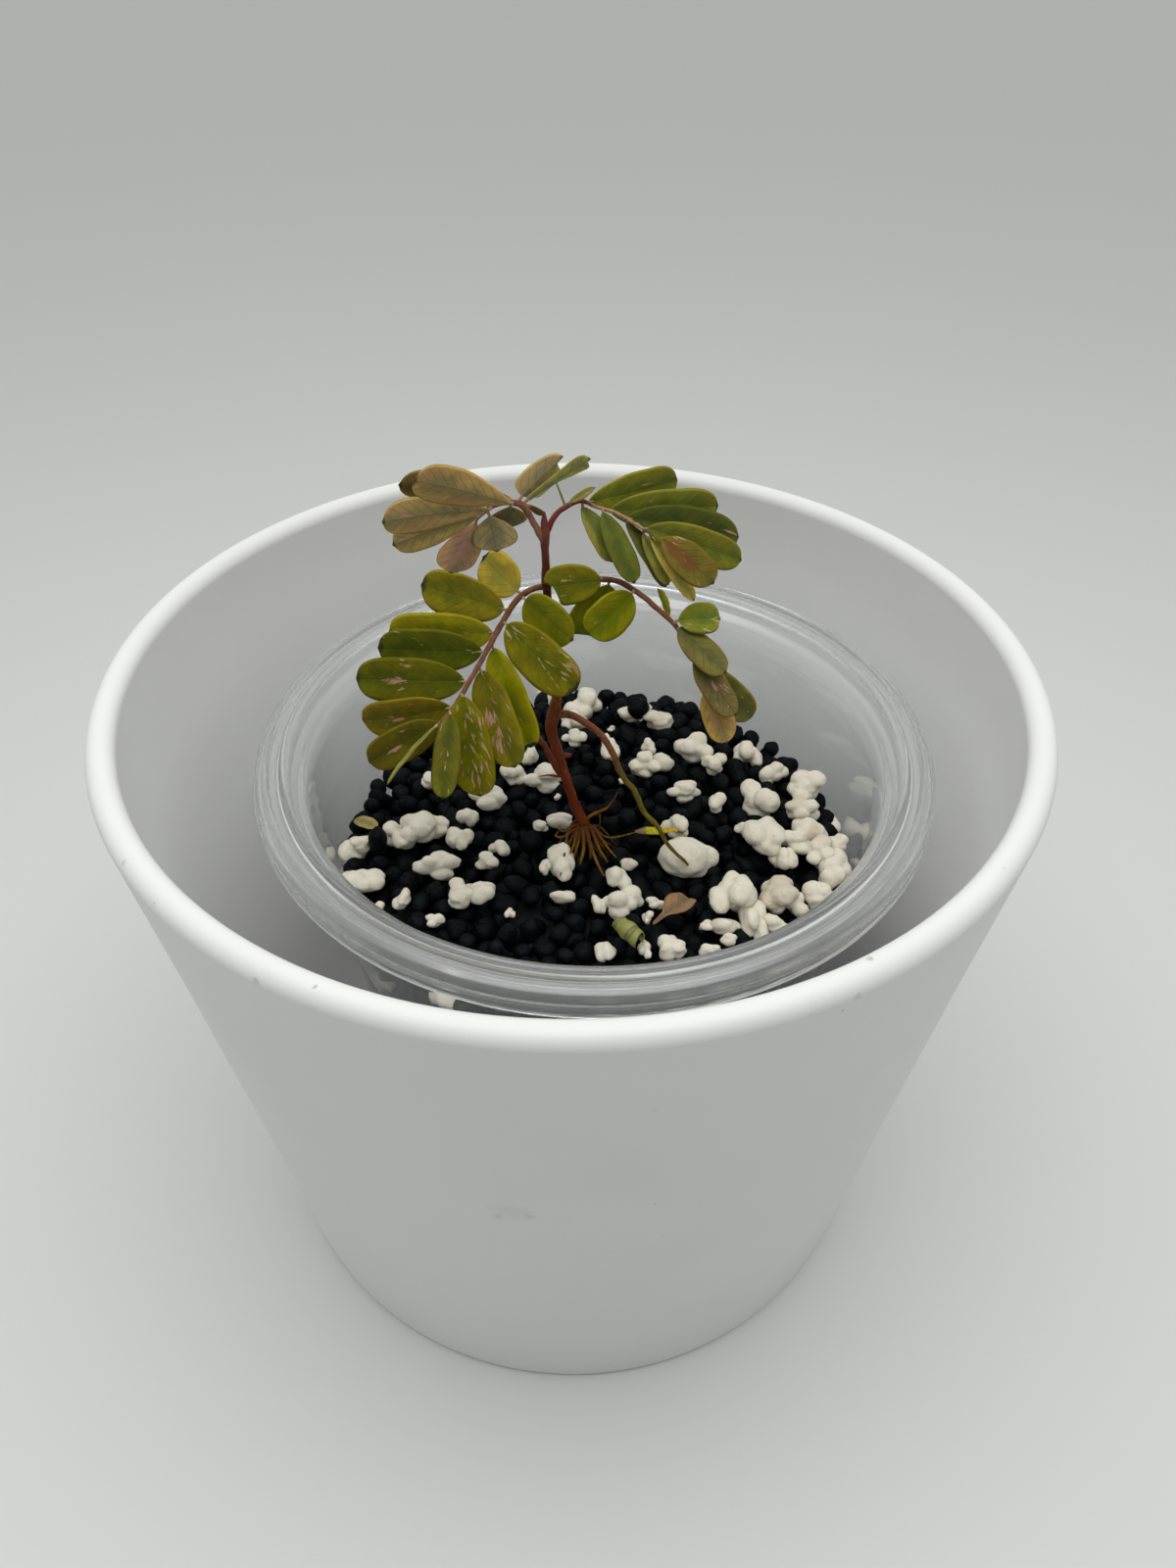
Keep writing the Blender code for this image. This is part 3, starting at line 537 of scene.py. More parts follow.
def perlite_lump(shape, x, y, height, across, deep, lobes, core=0.52):
    """One lump: a ball that swells softly into several overlapping lobes round a core."""
    directions, faces = shape
    swell = np.full(len(directions), core ** LOBE_CREASE)
    for _ in range(lobes):
        lobe = popped.normal(size=3)
        lobe *= popped.uniform(0.38, 0.66) / np.linalg.norm(lobe)
        radius = popped.uniform(0.34, 0.50)
        aim = directions @ lobe
        inside = np.maximum(aim ** 2 - lobe @ lobe + radius ** 2, 0)
        met = (aim > 0) & (aim ** 2 >= lobe @ lobe - radius ** 2)
        swell += np.where(met, aim + np.sqrt(inside), 0) ** LOBE_CREASE
    reach = swell ** (1 / LOBE_CREASE)
    points = lumpy(directions * reach[:, None], 0.10, 2.8, popped.uniform(0, 50))
    points -= (points.max(0) + points.min(0)) / 2
    points /= points.max(0) - points.min(0)
    return points * (across, deep, 0.40 * (across + deep)) + (x, y, height), faces


lumps, skins = [], []
for x, y, across, deep, rise, skin in PERLITE:
    shape, lobes = (lump_ball, 8) if across + deep > LARGE_LUMP else (fine_ball, 5)
    grow = 1.28 if x > 33 else 1.18
    lumps.append(perlite_lump(shape, x, y, bed_top(x, y) + rise - 0.2, across * grow, deep * grow, lobes,
                              0.78 if across > 9 else 0.52))
    skins.append(skin)
near_lumps = [(x, y, 2.6) for x, y, *_ in PERLITE]
for x, y in scattered(popped, CRUMBS, cup_inside(BED_EDGE) - 2.2, 7.0, near_lumps):
    size = popped.uniform(1.2, 2.2)
    other_size = size * popped.uniform(0.8, 1.2)
    lumps.append(perlite_lump(fine_ball, x, y, bed_top(x, y) - 0.8, size, other_size, 4))
for _ in range(WALL_BEADS):
    angle, height = popped.uniform(0, 2 * math.pi), popped.uniform(12, BED_EDGE - 1)
    size = popped.uniform(2.5, 5.5)
    x, y = round_cup(angle, cup_inside(height) - 0.55 * size)
    lumps.append(perlite_lump(fine_ball, x, y, height, size, size, 3))
perlite = joined("perlite_lumps", lumps, perlite_finish)
skins += [0] * (len(lumps) - len(skins))
rows = np.repeat(np.array(skins, float), [len(points) for points, _ in lumps])
perlite.data.attributes.new("perlite_skin", "FLOAT", "POINT").data.foreach_set("value", rows)
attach(perlite, "root")
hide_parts("substrate")

# Stems: a thin woody main stem of smooth red-brown bark, with a joint where each branch leaves and a bud.
# One old branch has lost its leaves and hangs down on the perlite; a short stub of another stands behind.
# Each route is x, y, z and radius at places along a stem.
STEM_ROUTE = [
    (1.8, -1.1, 84.6, 1.1), (1.8, -1.1, 86.2, 0.99), (0.3, -1.1, 90.2, 0.87), (-1, -1.2, 95.2, 0.85),
    (-2.1, -1.2, 99.8, 0.88), (-3.1, -1.1, 104.2, 0.88), (-3.8, -1, 107.2, 0.98), (-3.5, -1, 109.6, 1.1),
    (-3.1, -1, 111.6, 0.97), (-2.7, -1.1, 114.8, 0.81), (-3.2, -1.2, 121, 0.74), (-3.8, -1.2, 129, 0.68),
    (-4, -1.2, 134, 0.7), (-4.1, -1.2, 135.6, 0.76), (-4.1, -1.1, 138, 0.6), (-4.2, -1.1, 141.2, 0.62),
    (-4.2, -1.1, 143.2, 0.8), (-4.2, -1.1, 144.6, 0.58), (-4.2, -1.1, 145.6, 0.5),
    (-4.15, -1.1, 147, 0.12),
]
HANGING_ROUTE = [
    (-3.4, -1, 109.8, 0.85), (-2.2, -1.5, 110.8, 0.7), (-0.1, -2.5, 111.2, 0.62), (2.3, -3.5, 110.2, 0.6),
    (4.3, -4.3, 108.8, 0.58), (5.7, -4.9, 106.8, 0.56), (6.8, -5.4, 104.7, 0.56),
    (7.4, -5.6, 102.6, 0.52), (8.7, -6.2, 100.3, 0.52), (9.9, -6.6, 99, 0.5), (10.8, -7.1, 97.1, 0.5),
    (11.9, -7.5, 94.4, 0.42), (13.5, -8.1, 92.8, 0.44), (14.6, -8.5, 91.3, 0.4), (15.7, -8.9, 89, 0.36),
    (17.5, -9.6, 86.9, 0.3), (18.8, -10.1, 85.9, 0.28), (19.7, -10.5, 84.9, 0.18),
]
REAR_STUB_ROUTE = [
    (-2, -0.6, 96.8, 0.5), (-3.2, 0.6, 97.9, 0.55), (-5, 2.5, 100.8, 0.52), (-7, 3, 103.9, 0.42),
]
SIDE_ROOT_ROUTE = [
    (-1.4, -1.2, 97.3, 0.3), (-2.8, -1.5, 97.5, 0.26), (-4.4, -1.7, 97.9, 0.16), (-6, -1.9, 97.8, 0.06),
]
SCAR_ROUTE = [(-2, -1.3, 102, 0.5), (-0.9, -1.5, 102.1, 0.42), (-0.4, -1.6, 102.3, 0.2)]


def smooth_route(points, spacing):
    """Even points about a spacing apart on a smooth curve through (x, y, z, radius) points."""
    knots = np.array(points, float)
    knots = np.vstack([2 * knots[0] - knots[1], knots, 2 * knots[-1] - knots[-2]])
    fine = []
    for a, b, c, d in zip(knots, knots[1:], knots[2:], knots[3:]):
        for t in np.linspace(0, 1, 16, endpoint=False):
            fine.append(0.5 * (2 * b + (c - a) * t + (2 * a - 5 * b + 4 * c - d) * t ** 2
                               + (3 * b - a - 3 * c + d) * t ** 3))
    fine = np.array(fine + [knots[-2]])
    gone = np.concatenate([[0], np.cumsum(np.linalg.norm(np.diff(fine[:, :3], axis=0), axis=1))])
    at = np.linspace(0, gone[-1], max(3, round(gone[-1] / spacing) + 1))
    return np.stack([np.interp(at, gone, fine[:, column]) for column in range(4)], 1)


def tube(route, spacing, sides, wobble, seed):
    """Points and faces of a round stem along a smoothed route, with closed round ends."""
    route = smooth_route(route, spacing)
    ahead = np.gradient(route[:, :3], axis=0)
    ahead /= np.linalg.norm(ahead, axis=1)[:, None]
    side = np.cross(ahead[0], (0.3, 0.5, 0.8))
    points, faces = [], []
    count = len(route)
    for row, (here, way) in enumerate(zip(route, ahead)):
        side = side - way * (side @ way)
        side /= np.linalg.norm(side)
        other = np.cross(way, side)
        for step in range(sides):
            angle = 2 * math.pi * step / sides
            out = side * math.cos(angle) + other * math.sin(angle)
            rough = 1 + wobble * noise.noise(Vector(here[:3] * 0.9 + out * 0.8) + Vector((seed, 0, 0)))
            points.append(here[:3] + out * here[3] * rough)
        if row:
            for step in range(sides):
                after = (step + 1) % sides
                low, high = (row - 1) * sides, row * sides
                faces.append((low + step, low + after, high + after, high + step))
    points += [route[0, :3] - ahead[0] * 0.5 * route[0, 3], route[-1, :3] + ahead[-1] * 0.7 * route[-1, 3]]
    for step in range(sides):
        after = (step + 1) % sides
        faces.append((count * sides, after, step))
        faces.append((count * sides + 1, (count - 1) * sides + step, (count - 1) * sides + after))
    return np.array(points), faces


def bark(name, stops, roughness=0.42, axis=2):
    """Smooth bark: colours by height or along another axis, streaked and finely ridged lengthwise."""
    material, shader = new_finish(name, roughness, {"Specular IOR Level": 0.13})
    place = spot_on(shader)
    height = parted(place)[axis]
    colour = stops[0][1]
    for (low, _), (high, other) in zip(stops, stops[1:]):
        colour = mixed(fade(height, low * MM, high * MM), colour, other)
    grain = cloud(stretched(place, (1.0, 1.0, 0.22)), 2200.0, 3.0)
    streak = fade(grain, 0.42, 0.7)
    speck = fade(cloud(place, 700.0), 0.6, 0.72)
    dark = mixed(times(streak, 0.45), colour, (0.035, 0.010, 0.006))
    pale = mixed(times(speck, 0.25), dark, (0.34, 0.20, 0.09))
    feed(shader, "Base Color", pale)
    relief(shader, grain, 0.00012)
    return material


red_bark = bark("red_brown_bark", [
    (84, (0.17, 0.05, 0.007)), (90, (0.16, 0.027, 0.006)), (106, (0.17, 0.036, 0.011)),
    (118, (0.24, 0.084, 0.016)), (136, (0.11, 0.02, 0.014)), (146, (0.19, 0.058, 0.04)),
])
main_tubes = [tube(STEM_ROUTE, 0.35, 16, 0.12, 1), tube(SCAR_ROUTE, 0.2, 10, 0.3, 2),
              tube(SIDE_ROOT_ROUTE, 0.25, 8, 0.2, 3)]
main_stem = joined("woody_main_stem", main_tubes, red_bark)
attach(main_stem, "root")
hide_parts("main_stem")

rear_stub = joined("red_rear_stub", [tube(REAR_STUB_ROUTE, 0.3, 12, 0.15, 5)], red_bark)
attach(rear_stub, "root")
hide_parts("rear_branch_stub")

olive_bark = bark("olive_branch_bark", [
    (85, (0.12, 0.068, 0.019)), (89, (0.12, 0.09, 0.008)), (95, (0.15, 0.125, 0.008)),
    (101, (0.13, 0.098, 0.01)), (104, (0.17, 0.076, 0.021)), (108, (0.21, 0.069, 0.032)),
])
hanging = joined("bare_hanging_branch", [tube(HANGING_ROUTE, 0.35, 14, 0.15, 7)], olive_bark)
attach(hanging, "root")
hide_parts("hanging_branch")

# Root tuft: thin amber roots that spread from the crown over the pellets, with hair-fine ones between them.
# They grow from the stem's foot and rest on the bed at their tips.
CROWN = (1.8, -1.1, 85.4)
FINE_ROOTS = 22
# Thicker roots: the radius at the crown, and the x, y, z of places from there to the tip
THICK_ROOTS = [
    (0.3, [(0.4, -0.3, 86.1), (-1, -2.5, 85.7), (-1.5, -5.4, 85), (-1.9, -9.2, 84.6),
            (-2.4, -12.3, 84.2)]),
    (0.36, [(0.7, -2.2, 86), (-0.1, -5.6, 85), (-1.4, -7.4, 83.8)]),
    (0.42, [(1.6, -2.6, 86), (1.7, -6.4, 85), (1, -8.9, 83.6)]),
    (0.38, [(2.1, -2.7, 86.1), (3.1, -7, 85.4), (3.8, -8.9, 84.6), (5.1, -11.8, 83.6)]),
    (0.4, [(3, -2.4, 86), (4.3, -6.2, 85), (5.8, -8.4, 83.6)]),
    (0.36, [(3.4, -2.2, 86.1), (4.9, -4.6, 85.4), (6.2, -6.3, 84.6), (7.4, -7.5, 83.8)]),
    (0.24, [(3.6, -2.6, 86.1), (5.6, -3.8, 85.4), (7.7, -3.2, 84.8), (10.9, -1.4, 84.2)]),
    (0.26, [(0.4, -1.4, 86.1), (-1.7, -2.3, 85.4), (-2.8, -0.8, 84.8), (-2.4, 0.4, 84.6)]),
    (0.24, [(0.2, -2.4, 86), (-2.1, -3.4, 85), (-3.3, -2.3, 84.4), (-2.6, -1.2, 84.6)]),
    (0.32, [(2, -1.2, 86.4), (3, -1.2, 88.1), (4.5, -1.2, 89.1), (5.9, -1.2, 90), (6.9, -1.2, 91.8),
            (7.6, -1.2, 93.5)]),
    (0.26, [(2.4, -1.6, 85.6), (4.2, -1.8, 85.2), (4.6, -1.4, 86.8), (4.5, -1.2, 88.9)]),
    (0.34, [(1.2, -2, 86), (0.7, -4.6, 84.8), (0.2, -6.6, 83.8)]),
    (0.36, [(2.4, -2.2, 86), (2.7, -5, 84.8), (2.9, -7.6, 83.8)]),
]
root_finish = bark("amber_root_skin", [
    (83, (0.08, 0.042, 0.002)), (84.6, (0.16, 0.08, 0.003)), (86.2, (0.085, 0.026, 0.002)),
    (88.5, (0.2, 0.085, 0.006)), (92, (0.13, 0.045, 0.01)),
])
grown = np.random.default_rng(5)
root_tubes = []
for root, (radius, places) in enumerate(THICK_ROOTS):
    steps = np.linspace(0, 1, len(places))
    route = [(*place, radius * (1.15 - 0.75 * step)) for place, step in zip(places, steps)]
    root_tubes.append(tube([(*CROWN, 0.55)] + route, 0.3, 9, 0.35, root))
for _ in range(FINE_ROOTS):
    angle, reach = grown.uniform(math.pi * 0.85, math.pi * 2.0), grown.uniform(2.0, 6.5)
    east, north = reach * math.cos(angle), 1.2 * reach * math.sin(angle)
    sway = grown.uniform(-1.0, 1.0, 2)
    x, y = CROWN[0] + east, CROWN[1] + north
    bent_x, bent_y = CROWN[0] + 0.5 * east + sway[0], CROWN[1] + 0.5 * north + sway[1]
    route = [(CROWN[0], CROWN[1], CROWN[2] + grown.uniform(-1.2, 0.8), 0.24),
             (bent_x, bent_y, CROWN[2] - 0.8 + grown.uniform(-0.6, 1.0), 0.17),
             (x, y, bed_top(x, y) + grown.uniform(-0.6, 0.4), 0.06)]
    root_tubes.append(tube(route, 0.4, 7, 0.3, angle))
knot = lumpy(fine_ball[0], 0.35, 1.6, 4.0) * (1.3, 1.5, 1.5) + (CROWN[0], CROWN[1] - 0.6, CROWN[2] - 0.6)
root_tubes.append((knot, fine_ball[1]))
root_tuft = joined("amber_root_tuft", root_tubes, root_finish)
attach(root_tuft, "root")
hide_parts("root_tuft")

# Branchlet stalks: one wiry pinkish stalk to each side shoot, grown out of a joint of the main stem.
# Each tapers to its last leaflet and has a small swelling where a leaflet sits.
STALK_ROUTES = {
    "lower_left": [
        (-4, -1.2, 134.7, 0.55), (-6, -1.3, 134.4, 0.46), (-8.4, -2, 133, 0.48),
        (-10.5, -3.4, 130.4, 0.46), (-13.9, -6.4, 125.2, 0.42), (-18.4, -10, 118.8, 0.36),
        (-21.2, -11.6, 116, 0.26),
    ],
    "lower_right": [
        (-4, -1.2, 135.4, 0.55), (0.7, -1.5, 135.9, 0.44), (4, -2, 136.4, 0.42), (6.6, -2.6, 136.4, 0.42),
        (9.5, -4, 135.4, 0.42), (12.1, -5.5, 133.8, 0.4), (15.3, -7, 131.3, 0.36),
        (18, -8.5, 127.3, 0.32), (20.6, -9.5, 121.9, 0.26),
    ],
    "upper_left": [
        (-4.2, -1.1, 142.2, 0.6), (-5.5, -1.6, 145, 0.52), (-6.6, -2.1, 147.6, 0.5),
        (-7.7, -2.5, 149, 0.5), (-9.6, -2.9, 149.4, 0.42), (-11.8, -3.2, 148.8, 0.36),
        (-13.9, -3.3, 147, 0.26),
    ],
    "upper_right": [
        (-4.1, -1.1, 143.4, 0.5), (-2.7, 0.3, 145.6, 0.42), (-1.4, 1.2, 146.4, 0.42),
        (1, 2.2, 147.1, 0.36), (3.5, 1.8, 146.3, 0.28), (6.8, 1.4, 145.3, 0.26), (11.2, 0, 143.1, 0.24),
        (13.2, -0.6, 142.2, 0.22), (16, -1.2, 141.3, 0.16),
    ],
}
stalk_finish = bark("pinkish_stalk_skin", [
    (112, (0.26, 0.125, 0.065)), (126, (0.23, 0.095, 0.05)), (134, (0.18, 0.075, 0.03)),
    (140, (0.2, 0.07, 0.045)), (145, (0.3, 0.15, 0.09)), (148, (0.24, 0.1, 0.07)),
], 0.42)
pale_stalk_finish = bark("pale_stalk_skin", [
    (-4, (0.17, 0.03, 0.022)), (1.5, (0.2, 0.055, 0.035)), (4, (0.38, 0.22, 0.13)),
    (12, (0.42, 0.27, 0.14)),
], 0.42, 0)
stalk_lines = {}
for side, route in STALK_ROUTES.items():
    stalk_lines[side] = smooth_route(route, 0.35)
    finish = pale_stalk_finish if side == "upper_right" else stalk_finish
    stalk = joined(side + "_stalk", [tube(route, 0.35, 12, 0.2, len(side))], finish)
    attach(stalk, "root")
    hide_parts("branchlet_" + side)

# A fine pale thread joins the upper right stalk to the leaflet above it
THREAD_ROUTE = [(-1.2, 0.6, 147.2, 0.2), (-1.85, -0.35, 149.7, 0.16), (-2.5, -1.3, 152, 0.12)]
thread_finish = bark("pale_thread_skin", [(147, (0.36, 0.3, 0.14)), (152, (0.3, 0.32, 0.12))], 0.5)
thread = joined("upper_right_thread", [tube(THREAD_ROUTE, 0.25, 7, 0.1, 4)], thread_finish)
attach(thread, "root")
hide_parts("branchlet_upper_right")

# Leaflets: thin oblong blades in two rows, olive green above and duller below, with a fine point and leaning
# veins, flecked cream and pink. Each grows from its stalk by a short stalklet and shingles over the next.
LEAF_THICK = 0.24
LEAF_ROWS = 26
LEAF_HALF_COLUMNS = 6
LEAF_POINT = 0.25
VEIN_LEAN = 1.1
LEAF_GAIN = 1.8
LEAF_EDGE = (0.035, 0.016, 0.006)
LEAF_SCORCH = (0.016, 0.022, 0.016)
CREAM = (0.52, 0.45, 0.20)
PINK = (0.50, 0.26, 0.19)
RUST = (0.15, 0.045, 0.010)
# Each leaflet's seen colour from 0 to 255, partly its own tone and partly painted light and shade, set per
# leaflet to
# match how brightly lit each one looks. Then its flecks and how pink they are, and on some of them one patch:
# where along, where across, how far it reaches and its kind (1 pink, 2 rust).
LEAF_LOOKS = {
    "lower_left": [
        ((140, 126, 46), 0, 0), ((101, 96, 21), 0.04, 0.2),
        ((110, 107, 16), 0.22, 0.9, 0.66, 0.8, 0.13, 1), ((61, 65, 8), 0.22, 0.4),
        ((71, 72, 9), 0.5, 0.6, 0.62, 0.05, 0.12, 1), ((88, 79, 15), 0.3, 0.9, 0.62, 0.1, 0.09, 1),
        ((69, 64, 11), 0.2, 0.9, 0.62, 0.1, 0.12, 1), ((100, 102, 48), 0.1, 0.5),
        ((92, 92, 11), 0.25, 0.3), ((90, 87, 12), 0.55, 0.3, 0.82, 0.8, 0.1, 1),
        ((116, 116, 10), 0.4, 0.3), ((88, 84, 15), 0.8, 0.7, 0.76, -0.3, 0.1, 1),
        ((87, 85, 8), 0.85, 0.5, 0.86, 0.1, 0.08, 1), ((73, 73, 19), 0.45, 0.5),
    ],
    "lower_right": [
        ((94, 93, 18), 0.1, 0.2), ((101, 106, 11), 0.08, 0.2), ((95, 98, 8), 0.05, 0.2),
        ((115, 119, 25), 0.1, 0.2), ((93, 100, 33), 0.4, 0.2), ((84, 80, 40), 0.1, 0.4),
        ((79, 79, 31), 0.35, 0.5), ((79, 71, 39), 0.3, 0.8, 0.5, 0.1, 0.16, 1),
        ((144, 120, 68), 0.35, 0.9, 0.6, 0.2, 0.16, 1),
    ],
    "upper_left": [
        ((131, 112, 72), 0.02, 0.5), ((98, 86, 52), 0.03, 0.5),
        ((128, 112, 73), 0.08, 0.9, 0.82, 0.1, 0.1, 1), ((130, 117, 73), 0.08, 0.9, 0.86, 0.1, 0.13, 1),
        ((143, 117, 91), 0.15, 1, 0.55, 0.05, 0.28, 1), ((120, 110, 77), 0.05, 0.8),
        ((99, 91, 62), 0.05, 0.8), ((150, 136, 98), 0.04, 0.5), ((124, 126, 74), 0.04, 0.3),
        ((102, 88, 50), 0, 0.3),
    ],
    "upper_right": [
        ((95, 90, 45), 0.04, 0.3), ((86, 89, 26), 0.04, 0.9, 0.62, 0.2, 0.05, 1), ((82, 87, 27), 0.03, 0.5),
        ((51, 57, 17), 0.08, 0.9, 0.93, 0.2, 0.09, 1), ((81, 83, 24), 0.03, 0.5),
        ((76, 68, 20), 0.2, 0.9, 0.34, -0.1, 0.5, 2), ((101, 101, 43), 0.15, 0.3),
        ((66, 72, 22), 0.03, 0.3), ((68, 72, 29), 0.03, 0.3), ((100, 100, 45), 0.08, 0.5),
        ((148, 137, 66), 0.55, 1, 0.35, 0, 0.16, 1),
    ],
}


def paint(colour):
    """Blender's linear colour for one as it looks, from 0 to 255."""
    parts = [part / 255 for part in colour]
    return [part / 12.92 if part < 0.04 else ((part + 0.055) / 1.055) ** 2.4 for part in parts]


def stored(shader, name):
    """The three values kept on the mesh under a name."""
    return add(shader, "Attribute", attribute_name=name).outputs["Vector"]


def leaf_outline(along, form):
    """Half width of a leaflet as a share of its most, from base to tip. A plain form is its widest place and
    how square it is; a drawn one is a list of places and widths."""
    if len(form) > 2:
        return float(np.interp(along, *zip(*form)))
    widest, squareness = form
    skewed = along ** (math.log(0.5) / math.log(widest))
    return max(0.0, 1 - abs(2 * skewed - 1) ** squareness) ** (1 / 2.1)


def leaf_finish(name, under):
    """Leaf skin in each leaflet's colour, which carries painted light and shade for how lit that leaflet
    looks, for the upper or the under side.
    """
    material, shader = new_finish(name, 0.55 if under else 0.46, {
        "Specular IOR Level": 0.07, "Subsurface Weight": 0.35, "Subsurface Radius": (1.0, 0.9, 0.12),
        "Subsurface Scale": 0.0006,
    })
    along, across, scorch = parted(stored(shader, "leaf_place"))
    mm_along, mm_across, seed = parted(stored(shader, "leaf_mm"))
    tint_with_painted_light = stored(shader, "leaf_tint")
    flecks, pinkness, rusty = parted(stored(shader, "leaf_fleck"))
    patch_along, patch_across, patch_size = parted(stored(shader, "leaf_patch"))
    outward, mm_out = sums("ABSOLUTE", across), sums("ABSOLUTE", mm_across)
    flat = combined(mm_along, mm_across, seed)

    # Mottled green, lighter in places, with bronzed margins
    mottle = cloud(flat, 0.35, 3.0)
    shaded = scaled(fade(outward, 0.75, 0.10), -0.22, mottle)
    colour = mixed(fade(shaded, 0.20, 0.62), toned(tint_with_painted_light, (0.68, 0.77, 0.86)), toned(tint_with_painted_light, (1.30, 1.26, 1.12)))
    bronzed = scaled(outward, 0.35, cloud(flat, 0.28))
    colour = mixed(times(fade(bronzed, 0.58, 0.88), 0.60), colour, toned(tint_with_painted_light, (1.06, 0.84, 0.90)))

    # Leaning side veins, the crease along the middle and a fine net between them
    waver = scaled(cloud(flat, 0.5), 1.3, mm_along)
    wave = sums("SINE", times(scaled(mm_out, -VEIN_LEAN, waver), 3.9))
    vein = times(fade(wave, 0.80, 1.0), fade(outward, 1.0, 0.7))
    crease = times(fade(outward, 0.07, 0.02), 0.6 if under else 0.35)
    cells = add(flat, "TexVoronoi", {"Vector": flat, "Scale": 1.5}, feature="DISTANCE_TO_EDGE")
    net = fade(cells.outputs["Distance"], 0.09, 0.0)
    lines = sums("MAXIMUM", crease, times(vein, 0.55 if under else 0.35))
    lines = sums("MAXIMUM", lines, times(net, 0.22 if under else 0.10))
    colour = mixed(times(lines, 0.85), colour, toned(tint_with_painted_light, (0.52, 0.50, 0.45)))

    # Cream and pink flecks, drawn out along the side veins and gathered in clusters
    swept_along = times(scaled(mm_out, 0.22, mm_along), 0.40)
    swept_across = times(scaled(mm_along, -0.22, mm_out), 2.1)
    half_seed = sums("ADD", seed, times(sums("SIGN", across), 9.0))
    streaks = cloud(combined(swept_along, swept_across, half_seed), 1.0, 4.0)
    least = scaled(flecks, -0.16, 0.735)
    least = scaled(sums("SUBTRACT", cloud(flat, 0.23, 1.0), 0.5), -0.35, least)
    flecked = fade(streaks, least, sums("ADD", least, 0.035))
    pink = fade(sums("ADD", cloud(flat, 0.6), pinkness), 0.7, 1.2)
    colour = mixed(times(flecked, 0.85), colour, mixed(pink, CREAM, PINK))

    # One ragged patch of pink or rust
    reach = sums("SUBTRACT", along, patch_along)
    sideways = sums("SUBTRACT", across, patch_across)
    apart = sums("SQRT", sums("ADD", sums("POWER", reach, 2.0), sums("POWER", sideways, 2.0)))
    apart = scaled(sums("SUBTRACT", streaks, 0.5), 0.40, apart)
    patched = fade(apart, patch_size, times(patch_size, 0.55))
    patched = times(patched, sums("GREATER_THAN", patch_size, 0.001))
    colour = mixed(times(patched, 0.7), colour, mixed(rusty, PINK, RUST))

    # A dark edge towards the tip, and the tip itself scorched on some
    rim = sums("MAXIMUM", fade(outward, 0.93, 0.99), fade(along, 0.975, 0.995))
    rim = times(rim, fade(along, 0.35, 0.9))
    colour = mixed(times(rim, 0.75), colour, LEAF_EDGE)
    scorched = fade(scaled(cloud(flat, 0.9), 0.10, along), 0.99, 1.025)
    feed(shader, "Base Color", mixed(times(scorched, scorch), colour, LEAF_SCORCH))
    relief(shader, scaled(lines, 1.0 if under else -1.0, times(mottle, 0.5)), 0.00010)
    return material


def surface_terms(u, v):
    """The terms of a curved surface that is creased along its middle."""
    return np.stack([np.ones_like(u), u, u ** 2, u ** 3, np.abs(v), np.abs(v) * u, v, u * v, v ** 2], 1)


def keep(piece, name, table):
    """Keeps three values for each point on the mesh, for its finish to read."""
    piece.data.attributes.new(name, "FLOAT_VECTOR", "POINT").data.foreach_set("vector", np.ravel(table))


def straightened(node, line):
    """A leaflet's own axes, read from its CAD blade: its middle, the ways along, across and up, its two ends
    and half width, and the form of its curved middle surface. Its base is the end nearer to the stalk."""
    corners = np.unique(np.round([np.array(corner.co) / MM for corner in node.data.vertices], 3), axis=0)
    middle = corners.mean(0)
    along, across, up = np.linalg.svd(corners - middle)[2]
    reach = np.abs((corners - middle) @ along).max()
    ends = [middle + way * along * reach for way in (-1, 1)]
    base_gap, tip_gap = [np.linalg.norm(line[:, :3] - end, axis=1).min() for end in ends]
    if base_gap > tip_gap:
        along = -along
    u, v, w = ((corners - middle) @ np.stack([along, across, up], 1)).T
    form = np.linalg.lstsq(surface_terms(u, v), w, rcond=None)[0]
    if form[4] < 0:
        up, form = -up, -form
    if np.cross(along, across) @ up < 0:
        across = -across
        form[6:8] *= -1
    return middle, along, across, up, u.min(), u.max(), np.abs(v).max(), form


